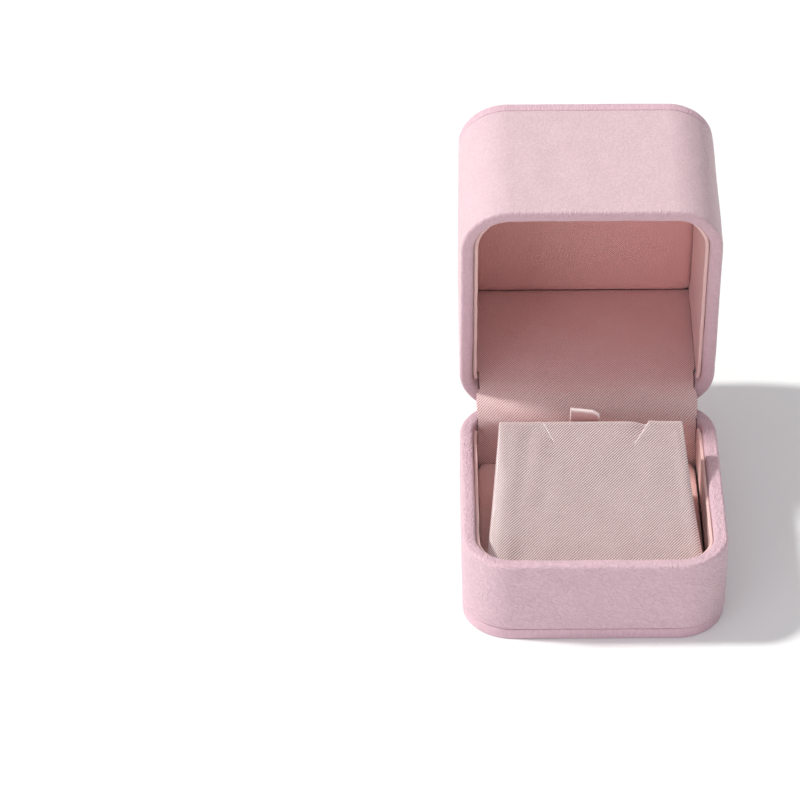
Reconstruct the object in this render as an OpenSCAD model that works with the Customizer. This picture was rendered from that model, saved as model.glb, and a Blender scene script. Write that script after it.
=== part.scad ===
// Leather jewellery case: a base and a deep lid on a concealed spring hinge,
// with a lift-out sloping display insert. All sizes are in millimetres.
// The origin is the centre of the base's underside, +Z is up, the case
// opens towards -Y and the lid stands open at rest.

/* [Case] */
// Width of the case, left to right
case_w = 65; // [60:1:80]
// Depth of the case, front to back
case_d = 67; // [62:1:80]
// Height of the base, with its bottom plate
base_h = 23; // [21:0.5:30]
// Height of the lid, with its top plate
lid_h = 43; // [38:0.5:50]
// Radius of the upright corners, at the leather
corner_r = 12.5; // [11:0.5:13]
// Angle that the lid opens through
open_angle = 83.5; // [75:0.5:95]

/* [Walls] */
// Thickness of the leather
leather_t = 1.0; // [0.8:0.1:1.0]
// Thickness of the moulded wall under the leather
frame_t = 1.8; // [1.6:0.1:1.8]
// Thickness of the leather turned in over the rim
turn_t = 0.5; // [0.4:0.1:0.6]
// How far the leather is turned in below the rim
turn_d = 6; // [4:0.5:8]
// Radius of the soft edge of the rim
rim_r = 1.2; // [1.2:0.1:1.6]
// Thickness of the covered plate under the base and on the lid
plate_t = 3; // [2.5:0.1:4]
// How far each plate is set in from the wall
plate_inset = 0.1; // [0.1:0.1:0.8]
// Radius of the outer edge of each plate
plate_r = 1.0; // [0.8:0.1:1.4]

/* [Linings] */
// Thickness of the lining card
card_t = 0.5; // [0.4:0.1:0.6]
// Thickness of the satin
satin_t = 0.3; // [0.2:0.05:0.3]
// Depth of the lining's top edge below the rim
lining_drop = 1.4; // [1:0.1:2]
// Height of the floor of the base above the ground
floor_z = 10; // [8:0.5:11]
// Thickness of the floor board
floor_board_t = 4.5; // [3:0.5:5]
// Depth from the lid's rim to the face of its top pad
pad_depth = 36.4; // [32:0.2:36.4]
// Distance of the hinge cover from the back of the case
cover_s = 8.3; // [8.3:0.1:9]
// Width of the satin strip over the hinge
cover_w = 56.4; // [50:0.2:56.4]

/* [Hinge] */
// Distance of the hinge line from the back of the case
hinge_in = 2; // [1.9:0.1:2.2]
// Gap between the closed rims
rim_gap = 0.1; // [0.1:0.05:0.3]
// Width of the hinge leaves
hinge_w = 30; // [24:1:34]
// Height of each hinge leaf
leaf_h = 11; // [9:0.5:12]
// Thickness of each hinge leaf
leaf_t = 0.5; // [0.4:0.1:0.5]
// Outer radius of the hinge knuckles
knuckle_r = 0.9; // [0.85:0.05:0.9]
// Radius of the hinge pin
pin_r = 0.45; // [0.4:0.05:0.45]
// Radial clearance of the pin in the knuckles
pin_fit = 0.05; // [0.03:0.01:0.08]

/* [Insert] */
// Half width of the insert at its front edge
insert_front_w = 27.0; // [25:0.1:27]
// Half width of the insert at its ridge
insert_ridge_w = 22.95; // [21:0.1:24]
// Distance of the insert's front edge from the front of the case
insert_front_y = 5; // [5:0.1:7]
// Height of the insert's front edge
insert_front_z = 13; // [12:0.1:15]
// Distance of the ridge from the front of the case
ridge_y = 43; // [38:0.5:46]
// Height of the ridge
ridge_z = 34.5; // [30:0.5:38]
// Thickness of the insert's card
insert_card_t = 0.8; // [0.6:0.1:1]
// Thickness of the foam on the insert's slope
insert_foam_t = 1.2; // [1:0.1:1.6]
// Width of each chain slot
slot_w = 0.6; // [0.5:0.1:0.8]
// Width of the ribbon tab
tab_w = 7.5; // [6:0.5:9]

/* [Hidden] */
$fn = 48;

wall_t = leather_t + frame_t + turn_t;       // 3.3 over the rim
tiny = 0.02;                                 // glue line between two layers
back_y = case_d / 2;
front_y = -case_d / 2;
hinge_y = back_y - hinge_in;                 // hinge line
hinge_z = base_h + rim_gap / 2;
frame_in = leather_t + frame_t;              // inner face of the moulded wall
knuckle = 5;                                 // length of one knuckle
leather = [0.90, 0.74, 0.76];
leather_edge = [0.87, 0.70, 0.73];
satin_in = [0.80, 0.56, 0.55];
satin_up = [0.90, 0.76, 0.75];
card_c = [0.82, 0.80, 0.76];
board_c = [0.66, 0.58, 0.50];
foam_c = [0.95, 0.93, 0.88];
plastic_c = [0.86, 0.85, 0.84];
steel_c = [0.72, 0.73, 0.75];

// ---- frames -------------------------------------------------------------

// Places a half case, drawn plate down and rim up, as the open lid.
module as_lid() {
  translate([0, hinge_y, hinge_z])
    rotate([-open_angle, 0, 0])
      translate([0, -hinge_y, 0])
        translate([0, 0, lid_h + rim_gap / 2])
          mirror([0, 0, 1])
            children();
}

// ---- shapes -------------------------------------------------------------

// Carries a flat profile round a rectangle w by d with corners of radius r.
// In the profile x = 0 is the corner's centre and x = r the outer face.
module around(w, d, r) {
  cx = w / 2 - r;
  cy = d / 2 - r;
  for (c = [[1, 1, 0], [-1, 1, 90], [-1, -1, 180], [1, -1, 270]])
    translate([c[0] * cx, c[1] * cy, 0])
      rotate([0, 0, c[2]])
        rotate_extrude(angle = 90, $fn = 96) children();
  translate([cx, cy, 0]) rotate([90, 0, 0]) linear_extrude(2 * cy) children();
  rotate([0, 0, 180]) translate([cx, cy, 0]) rotate([90, 0, 0]) linear_extrude(2 * cy) children();
  rotate([0, 0, 90]) translate([cy, cx, 0]) rotate([90, 0, 0]) linear_extrude(2 * cx) children();
  rotate([0, 0, 270]) translate([cy, cx, 0]) rotate([90, 0, 0]) linear_extrude(2 * cx) children();
}

// A flat rounded rectangle, set in by g from w by d with corners of radius r.
module rounded(w, d, r, g) {
  square([w - 2 * r, d - 2 * g], center = true);
  square([w - 2 * g, d - 2 * r], center = true);
  for (sx = [-1, 1], sy = [-1, 1])
    translate([sx * (w / 2 - r), sy * (d / 2 - r)]) circle(r - g);
}

// The wall's outline: x0 to x1, z0 to z1, with the top rounded by e and the
// lower outer edge by b.
module wall_profile(x0, x1, z0, z1, e, b) {
  difference() {
    union() {
      translate([x0, z0]) square([x1 - x0, z1 - z0 - e]);
      translate([x0 + e, z1 - e]) circle(e);
      translate([x1 - e, z1 - e]) circle(e);
      translate([x0 + e, z1 - e - 0.01]) square([x1 - x0 - 2 * e, e + 0.01]);
    }
    translate([x1 - b, z0 - 1]) square([b + 1, b + 1]);
  }
  translate([x1 - b, z0 + b]) circle(b);
}

// The wall of a half case that is h high, shrunk by g all round under the leather.
module frame_profile(h, g) {
  wall_profile(corner_r - frame_in, corner_r - leather_t - g, plate_t, h - leather_t - g, rim_r - leather_t, 0.05);
}

module leather_profile(h) {
  e = rim_r - leather_t;
  difference() {
    wall_profile(corner_r - wall_t, corner_r, plate_t + tiny, h, rim_r, 0.4);
    translate([corner_r - frame_in, plate_t - 1]) square([frame_t, h - plate_t - leather_t + 1 - e]);
    translate([corner_r - frame_in + e, h - leather_t - e]) circle(e);
    translate([corner_r - leather_t - e, h - leather_t - e]) circle(e);
    translate([corner_r - frame_in + e, h - leather_t - e - 0.1]) square([frame_t - 2 * e, e + 0.1]);
    translate([0, plate_t - 1]) square([corner_r - frame_in + 0.01, h - turn_d - plate_t + 1]);
  }
}

// What the open lid and the base press flat against each other, behind the hinge line.
module stop_face(h, more) {
  translate([0, hinge_y, h + rim_gap / 2])
    rotate([-open_angle / 2, 0, 0])
      translate([-60, -20, -0.05 - more])
        cube([120, 60, 20]);
}

// Room for the knuckles and, in the moulded wall, for the leaf.
module knuckle_room(h) {
  translate([-hinge_w / 2 - 0.4, hinge_y - 2, h - 1.7])
    cube([hinge_w + 0.8, 2 + hinge_in - leather_t - tiny, 3.5]);
}

module leaf_room(h) {
  translate([-hinge_w / 2 - 0.2, hinge_y - 3, h - leaf_h - 0.2])
    cube([hinge_w + 0.4, 3 - 0.38, leaf_h + 1]);
  for (x = [-1, 1])
    translate([x * 9.5, hinge_y - 3, h - leaf_h + 3]) rotate([-90, 0, 0]) cylinder(r = 0.62, h = 6);
}

module wall_leather(h) {
  difference() {
    around(case_w, case_d, corner_r) leather_profile(h);
    stop_face(h, 0);
    knuckle_room(h);
    translate([-hinge_w / 2 - 0.4, hinge_y - 3, h - turn_d - 1]) cube([hinge_w + 0.8, 3 - 0.7, turn_d + 2]);
  }
}

module wall_frame(h) {
  difference() {
    around(case_w, case_d, corner_r) frame_profile(h, tiny);
    stop_face(h, leather_t * 0.75);
    knuckle_room(h);
    leaf_room(h);
  }
}

// The rounded slab that forms a plate, set in by g and cut off at z0 and z1.
module slab(g, r, z0, z1) {
  t = plate_inset + g;
  around(case_w, case_d, corner_r)
    difference() {
      union() {
        translate([3, z0 + r]) square([corner_r - t - 3, z1 - z0 - r]);
        translate([3, z0]) square([corner_r - t - r - 3, r + 0.01]);
        translate([corner_r - t - r, z0 + r]) circle(r);
      }
    }
  translate([0, 0, z0]) linear_extrude(z1 - z0) rounded(case_w, case_d, corner_r, corner_r - 3.5);
}

module plate_leather() {
  difference() {
    slab(0, plate_r, 0, plate_t);
    slab(leather_t, plate_r - 0.8, leather_t, plate_t + 1);
  }
}

module plate_board() {
  slab(leather_t + tiny, plate_r - 0.8, leather_t + tiny, plate_t - tiny);
}

// The lining runs round the front and both sides and stops short of the back.
module lining_open(h) {
  translate([-40, back_y - 10, -1]) cube([80, 20, h + 2]);
}

module lining_card(h, z0) {
  difference() {
    around(case_w, case_d, corner_r)
      translate([corner_r - wall_t - 0.05 - card_t, z0]) square([card_t, h - lining_drop - satin_t - z0]);
    lining_open(h);
  }
}

module lining_satin(h, z0) {
  x1 = corner_r - wall_t - 0.05 - card_t - tiny;
  difference() {
    around(case_w, case_d, corner_r) {
      translate([x1 - satin_t, z0]) square([satin_t, h - lining_drop - z0]);
      translate([x1 - 0.01, h - lining_drop - satin_t + tiny]) square([card_t + 0.05, satin_t - tiny]);
    }
    lining_open(h);
  }
}

// One hinge leaf with its knuckles, rolled round the pin.
module leaf(h, ks) {
  z = h + rim_gap / 2;
  difference() {
    union() {
      translate([-hinge_w / 2, hinge_y - knuckle_r, h - leaf_h]) cube([hinge_w, leaf_t, leaf_h - 1.1]);
      for (k = ks) {
        translate([k[0], hinge_y - knuckle_r, h - 1.4]) cube([k[1], leaf_t, 1.4 + rim_gap / 2]);
        translate([k[0], hinge_y, z]) rotate([0, 90, 0]) cylinder(r = knuckle_r, h = k[1]);
      }
    }
    translate([-40, hinge_y, z]) rotate([0, 90, 0]) cylinder(r = pin_r + pin_fit, h = 80);
    for (x = [-1, 1])
      translate([x * 9.5, hinge_y - 3, h - leaf_h + 3]) rotate([-90, 0, 0]) cylinder(r = 0.62, h = 6);
  }
}

module rivets(h) {
  for (x = [-1, 1])
    translate([x * 9.5, hinge_y - knuckle_r - 0.01, h - leaf_h + 3]) rotate([-90, 0, 0]) {
      cylinder(r = 0.6, h = knuckle_r + hinge_in - leather_t - 0.1);
      translate([0, 0, -0.35]) cylinder(r = 1.2, h = 0.35);
    }
}

// A round wire swept along the points p, radius r, s sides.
function unit(v) = v / norm(v);
function side(t) = unit(cross(t, abs(t[0]) < 0.8 ? [1, 0, 0] : [0, 1, 0]));
module wire(p, r, s) {
  n = len(p);
  tan_ = [for (i = [0 : n - 1]) unit(p[min(i + 1, n - 1)] - p[max(i - 1, 0)])];
  pts = [for (i = [0 : n - 1]) let (t = tan_[i], a = side(t), b = cross(t, a))
           for (k = [0 : s - 1]) p[i] + r * (cos(360 * k / s) * a + sin(360 * k / s) * b)];
  faces = concat(
    [[for (k = [0 : s - 1]) k]],
    [[for (k = [s - 1 : -1 : 0]) (n - 1) * s + k]],
    [for (i = [0 : n - 2], k = [0 : s - 1])
       [i * s + k, (i + 1) * s + k, (i + 1) * s + (k + 1) % s, i * s + (k + 1) % s]]);
  polyhedron(points = pts, faces = faces, convexity = 10);
}

// Points of a strip seen from the side, as [distance from the back, height], and its thickness.
function normals(p) = [for (i = [0 : len(p) - 1]) let (t = unit(p[min(i + 1, len(p) - 1)] - p[max(i - 1, 0)])) [-t[1], t[0]]];
module ribbon_profile(p, t) {
  n = normals(p);
  polygon(concat([for (i = [0 : len(p) - 1]) p[i]], [for (i = [len(p) - 1 : -1 : 0]) p[i] + t * n[i]]));
}

// A flat outline in the YZ plane, w wide, centred on x = 0.
module along_x(w) {
  translate([-w / 2, 0, 0]) rotate([90, 0, 90]) linear_extrude(w) children();
}

// ---- base ---------------------------------------------------------------

module base_leather() { color(leather) wall_leather(base_h); }
module base_frame() { color(plastic_c) wall_frame(base_h); }
module base_plate_leather() { color(leather_edge) plate_leather(); }
module base_plate_board() { color(board_c) plate_board(); }
module base_lining_card() { color(card_c) lining_card(base_h, plate_t + tiny); }
module base_lining_satin() { color(satin_in) lining_satin(base_h, floor_z + tiny); }

floor_in = wall_t + 0.05 + card_t + satin_t + 0.1;  // the floor clears the lining by this
floor_back = back_y - cover_s - 0.35;               // and stops in front of the hinge cover

module floor_layer(g, z0, z1) {
  intersection() {
    translate([0, 0, z0]) linear_extrude(z1 - z0) rounded(case_w, case_d, corner_r, floor_in + g);
    translate([-40, -60, 0]) cube([80, 60 + floor_back - g, 40]);
  }
}
module base_floor_board() { color(board_c) floor_layer(satin_t, plate_t + satin_t, plate_t + satin_t + floor_board_t); }
module base_floor_foam() { color(foam_c) floor_layer(satin_t, plate_t + satin_t + floor_board_t + tiny, floor_z - satin_t - tiny); }
module base_floor_satin() {
  color(satin_in) difference() {
    floor_layer(0, plate_t + tiny, floor_z);
    floor_layer(satin_t - tiny, plate_t - 1, floor_z - satin_t);
  }
}
module base_back_card() {
  color(card_c) translate([-cover_w / 2 + 0.9, back_y - cover_s + satin_t + tiny, plate_t + tiny])
    cube([cover_w - 1.8, 0.7, base_h - 2.5 - plate_t]);
}

// ---- hinge --------------------------------------------------------------

module hinge_base_leaf() {
  color(steel_c) leaf(base_h, [[-hinge_w / 2, knuckle], [hinge_w / 2 - knuckle, knuckle]]);
}
module hinge_lid_leaf() {
  color(steel_c) as_lid() leaf(lid_h, [[-hinge_w / 2 + knuckle + 0.1, knuckle - 0.2], [hinge_w / 2 - 2 * knuckle + 0.1, knuckle - 0.2]]);
}
module hinge_base_rivets() { color(steel_c) rivets(base_h); }
module hinge_lid_rivets() { color(steel_c) as_lid() rivets(lid_h); }
module hinge_pin() {
  color(steel_c) translate([-hinge_w / 2, hinge_y, hinge_z]) rotate([0, 90, 0]) cylinder(r = pin_r, h = hinge_w);
}
// A torsion spring round the pin, between the knuckles, with a leg on each leaf.
coil_r = 0.66;
coil_n = 8;
leg = 7;
function turned(a, y, z) = [hinge_y + y * cos(a) + z * sin(a), hinge_z - y * sin(a) + z * cos(a)];
module hinge_spring() {
  x0 = -hinge_w / 2 + 2 * knuckle + 0.7;
  x1 = -x0;
  lid_leg = turned(open_angle, -knuckle_r - 0.16, leg);
  color([0.62, 0.63, 0.65]) wire(concat(
    [[x0, hinge_y - knuckle_r - 0.16, hinge_z - leg], [x0, hinge_y - knuckle_r - 0.16, hinge_z - leg / 2], [x0, hinge_y - knuckle_r - 0.16, hinge_z - 1.1], [x0, hinge_y - coil_r - 0.26, hinge_z - 0.5]],
    [for (i = [0 : 15 : 360 * coil_n + 83])
       let (a = 180 - i, f = i / (360 * coil_n + 83))
       [x0 + (x1 - x0) * f, hinge_y + coil_r * cos(a), hinge_z + coil_r * sin(a)]],
    [[x1, turned(open_angle, -coil_r - 0.26, 0.5)[0], turned(open_angle, -coil_r - 0.26, 0.5)[1]],
     [x1, turned(open_angle, -knuckle_r - 0.16, 1.1)[0], turned(open_angle, -knuckle_r - 0.16, 1.1)[1]],
     [x1, turned(open_angle, -knuckle_r - 0.16, leg / 2)[0], turned(open_angle, -knuckle_r - 0.16, leg / 2)[1]],
     [x1, lid_leg[0], lid_leg[1]]]), 0.12, 6);
}

// The satin strip: up the back of the base, over the hinge and along the lid.
function on_lid_pt(s, h) = turned(open_angle, hinge_in - s, h);
cover_base = [for (z = [plate_t + tiny, 10, 15, 19, 21]) [back_y - cover_s, z]];
cover_lid = [for (h = [3.4, 8, 14, 20, 26, 31, pad_depth - 0.1]) on_lid_pt(cover_s - 0.7 + 0.7 * h / pad_depth, h)];
bend_a = [back_y - cover_s, 21];
bend_d = on_lid_pt(cover_s - 0.65, 3.4);
bend_b = [back_y - cover_s + 0.3, 25.6];
bend_c = bend_d - 3.6 * [cos(7.5), sin(7.5)];
function bez(t) = pow(1 - t, 3) * bend_a + 3 * t * pow(1 - t, 2) * bend_b + 3 * t * t * (1 - t) * bend_c + pow(t, 3) * bend_d;
// The turned-in leather of a half case, with room round it, which the strip's edges clear.
module rim_band(h) {
  around(case_w, case_d, corner_r)
    translate([corner_r - wall_t - 0.12, h - turn_d - 0.4]) square([wall_t + 2, turn_d + 0.4]);
}
module hinge_cover_satin() {
  color(satin_in) difference() {
    along_x(cover_w)
      ribbon_profile(concat(cover_base, [for (i = [1 : 7]) bez(i / 8)], cover_lid), satin_t - 0.02);
    rim_band(base_h);
    as_lid() rim_band(lid_h);
  }
}

// ---- lid ----------------------------------------------------------------

module lid_leather() { color(leather) as_lid() wall_leather(lid_h); }
module lid_frame() { color(plastic_c) as_lid() wall_frame(lid_h); }
module lid_plate_leather() { color(leather_edge) as_lid() plate_leather(); }
module lid_plate_board() { color(board_c) as_lid() plate_board(); }
lid_pad_z = lid_h - pad_depth;                      // face of the pad, from the lid's plate
module lid_lining_card() { color(card_c) as_lid() lining_card(lid_h, lid_pad_z + 0.2); }
module lid_lining_satin() { color(satin_in) as_lid() lining_satin(lid_h, lid_pad_z + 0.2); }

pad_in = frame_in + 0.15;                           // the pad reaches to the moulded wall
module pad_layer(g, z0, z1) {
  intersection() {
    translate([0, 0, z0]) linear_extrude(z1 - z0) rounded(case_w, case_d, corner_r, pad_in + g);
    translate([-40, -60, 0]) cube([80, 60 + back_y - cover_s - 0.5 - g, 40]);
  }
}
module lid_pad_board() { color(board_c) as_lid() pad_layer(satin_t, plate_t + satin_t, plate_t + satin_t + 1.0); }
module lid_pad_foam() { color(foam_c) as_lid() pad_layer(satin_t, plate_t + satin_t + 1.0 + tiny, lid_pad_z - satin_t - tiny); }
module lid_pad_satin() {
  color(satin_in) as_lid() difference() {
    pad_layer(0, plate_t + tiny, lid_pad_z);
    pad_layer(satin_t - tiny, plate_t - 1, lid_pad_z - satin_t);
  }
}
module lid_back_card() {
  color(card_c) as_lid() along_x(cover_w - 2.8)
    polygon([for (q = [[4, 0], [pad_depth - 0.2, 0], [pad_depth - 0.2, 1], [4, 1]])
      [back_y - (cover_s - 0.7 + 0.7 * q[0] / pad_depth) + satin_t + tiny + 0.7 * q[1], lid_h - q[0]]]);
}

// ---- insert -------------------------------------------------------------

fy = front_y + insert_front_y;
ry = front_y + ridge_y;
insert_back = ry + 1.6;
insert_in = wall_t + 0.05 + card_t + tiny + satin_t + 0.33;  // the insert clears the lining by this
slope = atan2(ridge_z - insert_front_z, ridge_y - insert_front_y);
slope_l = norm([ridge_z - insert_front_z, ridge_y - insert_front_y]);

// The insert's outer form, set in by g on every face but the slope, and by s there.
// It is open below: b lets the inner form run out through the floor. Its plan is a
// tapered outline that also follows the rounded corners of the base's lining.
function insert_half(y) = insert_front_w - (insert_front_w - insert_ridge_w) * (y - fy) / (ry - fy);
module insert_form(g, s, b) {
  zs = s / cos(slope);
  y0 = fy + g;
  y1 = insert_back - g;
  intersection() {
    along_x(80)
      polygon([[y0, floor_z + tiny - b], [y0, insert_front_z + g * tan(slope) - zs],
               [ry, ridge_z - zs], [y1, ridge_z - zs], [y1, floor_z + tiny - b]]);
    linear_extrude(80)
      polygon([[insert_half(y0) - g, y0], [insert_half(y1) - g, y1],
               [-insert_half(y1) + g, y1], [-insert_half(y0) + g, y0]]);
    linear_extrude(80) rounded(case_w, case_d, corner_r, insert_in + g);
  }
}

// A chain slot: a narrow slanting cut through the slope, from the ridge down.
module chain_slot(x0, x1, l) {
  translate([x0, ry, ridge_z])
    rotate([slope, 0, 0])
      rotate([0, 0, atan2(x1 - x0, l)])
        translate([-slot_w / 2, -norm([x1 - x0, l]), -7])
          cube([slot_w, norm([x1 - x0, l]) + 4, 12]);
}
module chain_slots() {
  chain_slot(-12.4, -9.6, 5.4);
  chain_slot(14.5, 10.7, 6.1);
}

st = satin_t;
module insert_satin() {
  color(satin_up) difference() {
    insert_form(0, 0, 0);
    insert_form(st, st, 5);
    chain_slots();
  }
}
module insert_foam() {
  color(foam_c) difference() {
    insert_form(st + tiny, st + tiny, 0);
    insert_form(0.1, st + insert_foam_t, 5);
    translate([-40, fy - 1, 0]) cube([80, 1 + st + insert_foam_t + 0.6, 60]);
    translate([-40, ry - 0.4, 0]) cube([80, 20, 60]);
    chain_slots();
  }
}
module insert_card() {
  g = st + tiny;
  s = st + insert_foam_t + tiny;
  color(card_c) difference() {
    insert_form(g, s, 0);
    insert_form(g + insert_card_t, s + insert_card_t, 5);
    chain_slots();
  }
}

// A folded ribbon tab behind the ridge, to lift the insert by.
module insert_ribbon() {
  color(satin_up) translate([-1.4 - tab_w / 2, insert_back + 0.05, ridge_z - 14])
    rotate([90, 0, 0]) mirror([0, 0, 1]) linear_extrude(0.6)
      polygon([[0, 0], [tab_w, 0], [tab_w, 14.6], [0, 17.1]]);
}

// ---- all ----------------------------------------------------------------

base_leather();
base_frame();
base_plate_leather();
base_plate_board();
base_lining_card();
base_lining_satin();
base_floor_board();
base_floor_foam();
base_floor_satin();
base_back_card();
hinge_base_leaf();
hinge_base_rivets();
hinge_pin();
hinge_spring();
hinge_cover_satin();
lid_leather();
lid_frame();
lid_plate_leather();
lid_plate_board();
lid_lining_card();
lid_lining_satin();
lid_pad_board();
lid_pad_foam();
lid_pad_satin();
lid_back_card();
hinge_lid_leaf();
hinge_lid_rivets();
insert_card();
insert_foam();
insert_satin();
insert_ribbon();
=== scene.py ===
import math

import bmesh
import bpy
import numpy as np
from mathutils import Matrix, Vector
from mathutils.kdtree import KDTree


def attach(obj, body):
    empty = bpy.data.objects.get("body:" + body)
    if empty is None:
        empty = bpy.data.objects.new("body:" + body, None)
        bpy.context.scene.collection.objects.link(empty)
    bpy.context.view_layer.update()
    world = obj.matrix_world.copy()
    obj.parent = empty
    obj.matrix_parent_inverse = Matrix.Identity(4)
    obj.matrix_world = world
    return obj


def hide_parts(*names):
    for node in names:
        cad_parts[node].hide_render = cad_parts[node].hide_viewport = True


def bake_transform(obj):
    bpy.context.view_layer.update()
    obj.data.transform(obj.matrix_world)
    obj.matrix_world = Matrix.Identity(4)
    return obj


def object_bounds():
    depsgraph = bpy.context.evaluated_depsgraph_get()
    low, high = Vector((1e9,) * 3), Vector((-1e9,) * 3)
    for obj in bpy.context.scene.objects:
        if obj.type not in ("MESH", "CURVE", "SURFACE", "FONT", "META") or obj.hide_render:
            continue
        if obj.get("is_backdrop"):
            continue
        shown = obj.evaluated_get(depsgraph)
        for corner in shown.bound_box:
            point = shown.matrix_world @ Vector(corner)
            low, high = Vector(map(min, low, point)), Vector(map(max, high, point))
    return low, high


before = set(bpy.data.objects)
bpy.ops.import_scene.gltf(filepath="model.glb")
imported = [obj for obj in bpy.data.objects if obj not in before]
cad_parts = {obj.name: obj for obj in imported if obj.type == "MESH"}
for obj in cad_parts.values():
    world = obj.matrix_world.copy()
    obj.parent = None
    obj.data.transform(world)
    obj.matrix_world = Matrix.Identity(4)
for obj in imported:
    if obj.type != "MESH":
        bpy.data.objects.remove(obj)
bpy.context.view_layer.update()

MM = 0.001

# ---- sizes of the case, in millimetres, as the CAD has them -----------------

W, D, R = 65.0, 67.0, 12.5           # outline and corner radius, at the leather
BASE_H, LID_H = 23.0, 43.0
PLATE_T = 3.0
WALL = 3.3                           # leather, moulded wall and turned-in leather
HY, HZ = 31.5, 23.05                 # hinge line
OPEN = math.radians(83.5)
CX, CY = W / 2 - R, D / 2 - R
FLOOR_Z = 10.0
PAD_Z = LID_H - 36.4                 # face of the lid's pad, from the lid's plate
COVER_S, COVER_W, COVER_T = 8.3, 56.4, 0.28
FY, RY, BY = -28.5, 9.5, 11.1        # insert: front edge, ridge, back
RIDGE_Z, FRONT_Z = 34.5, 13.0
SLOPE = math.atan2(RIDGE_Z - FRONT_Z, RY - FY)


# ---- small tools ------------------------------------------------------------

def waves(p, size, seed, n=12):
    """Smooth noise, about -1 to 1, with bumps about `size` mm across."""
    rng = np.random.RandomState(seed)
    out = np.zeros(len(p))
    for _ in range(n):
        d = rng.normal(size=p.shape[1])
        d /= np.linalg.norm(d)
        out += np.sin(p @ d * (2 * math.pi / size) * rng.uniform(0.6, 1.4) + rng.uniform(0, 6.283))
    return out / math.sqrt(n / 2) / 1.6


def smooth(x, a, b):
    t = np.clip((x - a) / (b - a), 0, 1)
    return t * t * (3 - 2 * t)


def arc(cx, cz, r, a0, a1, n):
    a = np.radians(np.linspace(a0, a1, n))
    return np.stack([cx + r * np.cos(a), cz + r * np.sin(a)], 1)


def line(p, q, step):
    p, q = np.array(p, float), np.array(q, float)
    n = max(2, int(np.linalg.norm(q - p) / step) + 1)
    return p + (q - p) * np.linspace(0, 1, n)[:, None]


def chain(*parts):
    """Joins runs of points and leaves out repeated ones."""
    p = np.concatenate(parts)
    keep = np.r_[True, np.linalg.norm(np.diff(p, axis=0), axis=1) > 1e-6]
    return p[keep]


def ring(step=0.42, n_corner=46):
    """Corner centres, outward normals and lengths round the case, anticlockwise
    from the middle of the front, as seen from above."""
    def run(a, b, nrm, marks=()):
        n = int(np.linalg.norm(np.subtract(b, a)) / step)
        t = np.unique(np.r_[np.linspace(0, 1, n), marks])
        c = np.array(a, float) + (np.array(b, float) - np.array(a, float)) * t[:, None]
        return c[:-1], np.tile(np.array(nrm, float), (len(c) - 1, 1))

    def turn(c, a0):
        a = np.radians(np.linspace(a0, a0 + 90, n_corner))[:-1]
        return np.tile(np.array(c, float), (len(a), 1)), np.stack([np.cos(a), np.sin(a)], 1)

    marks = [(CX - x) / (2 * CX) for x in (15.6, 15.4, 15.2, -15.2, -15.4, -15.6)]
    parts = [run((0, -CY), (CX, -CY), (0, -1)), turn((CX, -CY), -90), run((CX, -CY), (CX, CY), (1, 0)),
             turn((CX, CY), 0), run((CX, CY), (-CX, CY), (0, 1), marks), turn((-CX, CY), 90),
             run((-CX, CY), (-CX, -CY), (-1, 0)), turn((-CX, -CY), 180), run((-CX, -CY), (0, -CY), (0, -1))]
    c = np.concatenate([x[0] for x in parts])
    n = np.concatenate([x[1] for x in parts])
    p = c + n * R
    s = np.r_[0, np.cumsum(np.linalg.norm(np.diff(np.r_[p, p[:1]], axis=0), axis=1))]
    return c, n, s


def sweep(c, n, s, prof, closed_path=True, closed_prof=True):
    """Carries a profile of (r, z) round the path. A profile may differ at each place."""
    k, m = len(c), prof.shape[-2]
    pr = np.broadcast_to(prof, (k, m, 2))
    xy = c[:, None, :] + n[:, None, :] * pr[:, :, 0:1]
    v = np.concatenate([xy, pr[:, :, 1:2]], 2).reshape(-1, 3)
    i, j = np.meshgrid(np.arange(k if closed_path else k - 1), np.arange(m if closed_prof else m - 1), indexing="ij")
    i, j = i.ravel(), j.ravel()
    i2, j2 = (i + 1) % k, (j + 1) % m
    f = np.stack([i * m + j, i2 * m + j, i2 * m + j2, i * m + j2], 1)
    one = pr[0]
    t = np.r_[0, np.cumsum(np.linalg.norm(np.diff(np.r_[one, one[:1]], axis=0), axis=1))]
    # on a closed path the lengths start again at the back, where the leather is joined
    back = np.where((s[i] > s[-1] / 2) & closed_path, s[-1], 0.0)
    lo, hi = s[i] - back, s[i + 1] - back
    uv = np.stack([np.stack([lo, t[j]], 1), np.stack([hi, t[j]], 1),
                   np.stack([hi, t[j + 1]], 1), np.stack([lo, t[j + 1]], 1)], 1)
    return v, f.tolist(), uv.reshape(-1, 2).tolist()


def grid(p, u, v, flip=False):
    """Faces and UVs for a grid of points p (a, b, 3) with UVs u and v (a, b)."""
    a, b = p.shape[:2]
    i, j = np.meshgrid(np.arange(a - 1), np.arange(b - 1), indexing="ij")
    i, j = i.ravel(), j.ravel()
    cs = [(i, j), (i + 1, j), (i + 1, j + 1), (i, j + 1)]
    if flip:
        cs = cs[::-1]
    f = np.stack([x * b + y for x, y in cs], 1)
    uv = np.stack([np.stack([u[x, y], v[x, y]], 1) for x, y in cs], 1)
    return p.reshape(-1, 3), f.tolist(), uv.reshape(-1, 2).tolist()


def joined(*meshes):
    v, f, uv = [], [], []
    for a, b, c in meshes:
        off = sum(len(x) for x in v)
        v.append(np.asarray(a, float))
        f += [[q + off for q in face] for face in b]
        uv += list(c)
    return np.concatenate(v), f, uv


def normals(v, f):
    out = np.zeros_like(v)
    quads = np.array([x for x in f if len(x) == 4])
    nrm = np.cross(v[quads[:, 2]] - v[quads[:, 0]], v[quads[:, 3]] - v[quads[:, 1]])
    for k in range(4):
        np.add.at(out, quads[:, k], nrm)
    return out / np.maximum(np.linalg.norm(out, axis=1, keepdims=True), 1e-12)


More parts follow.
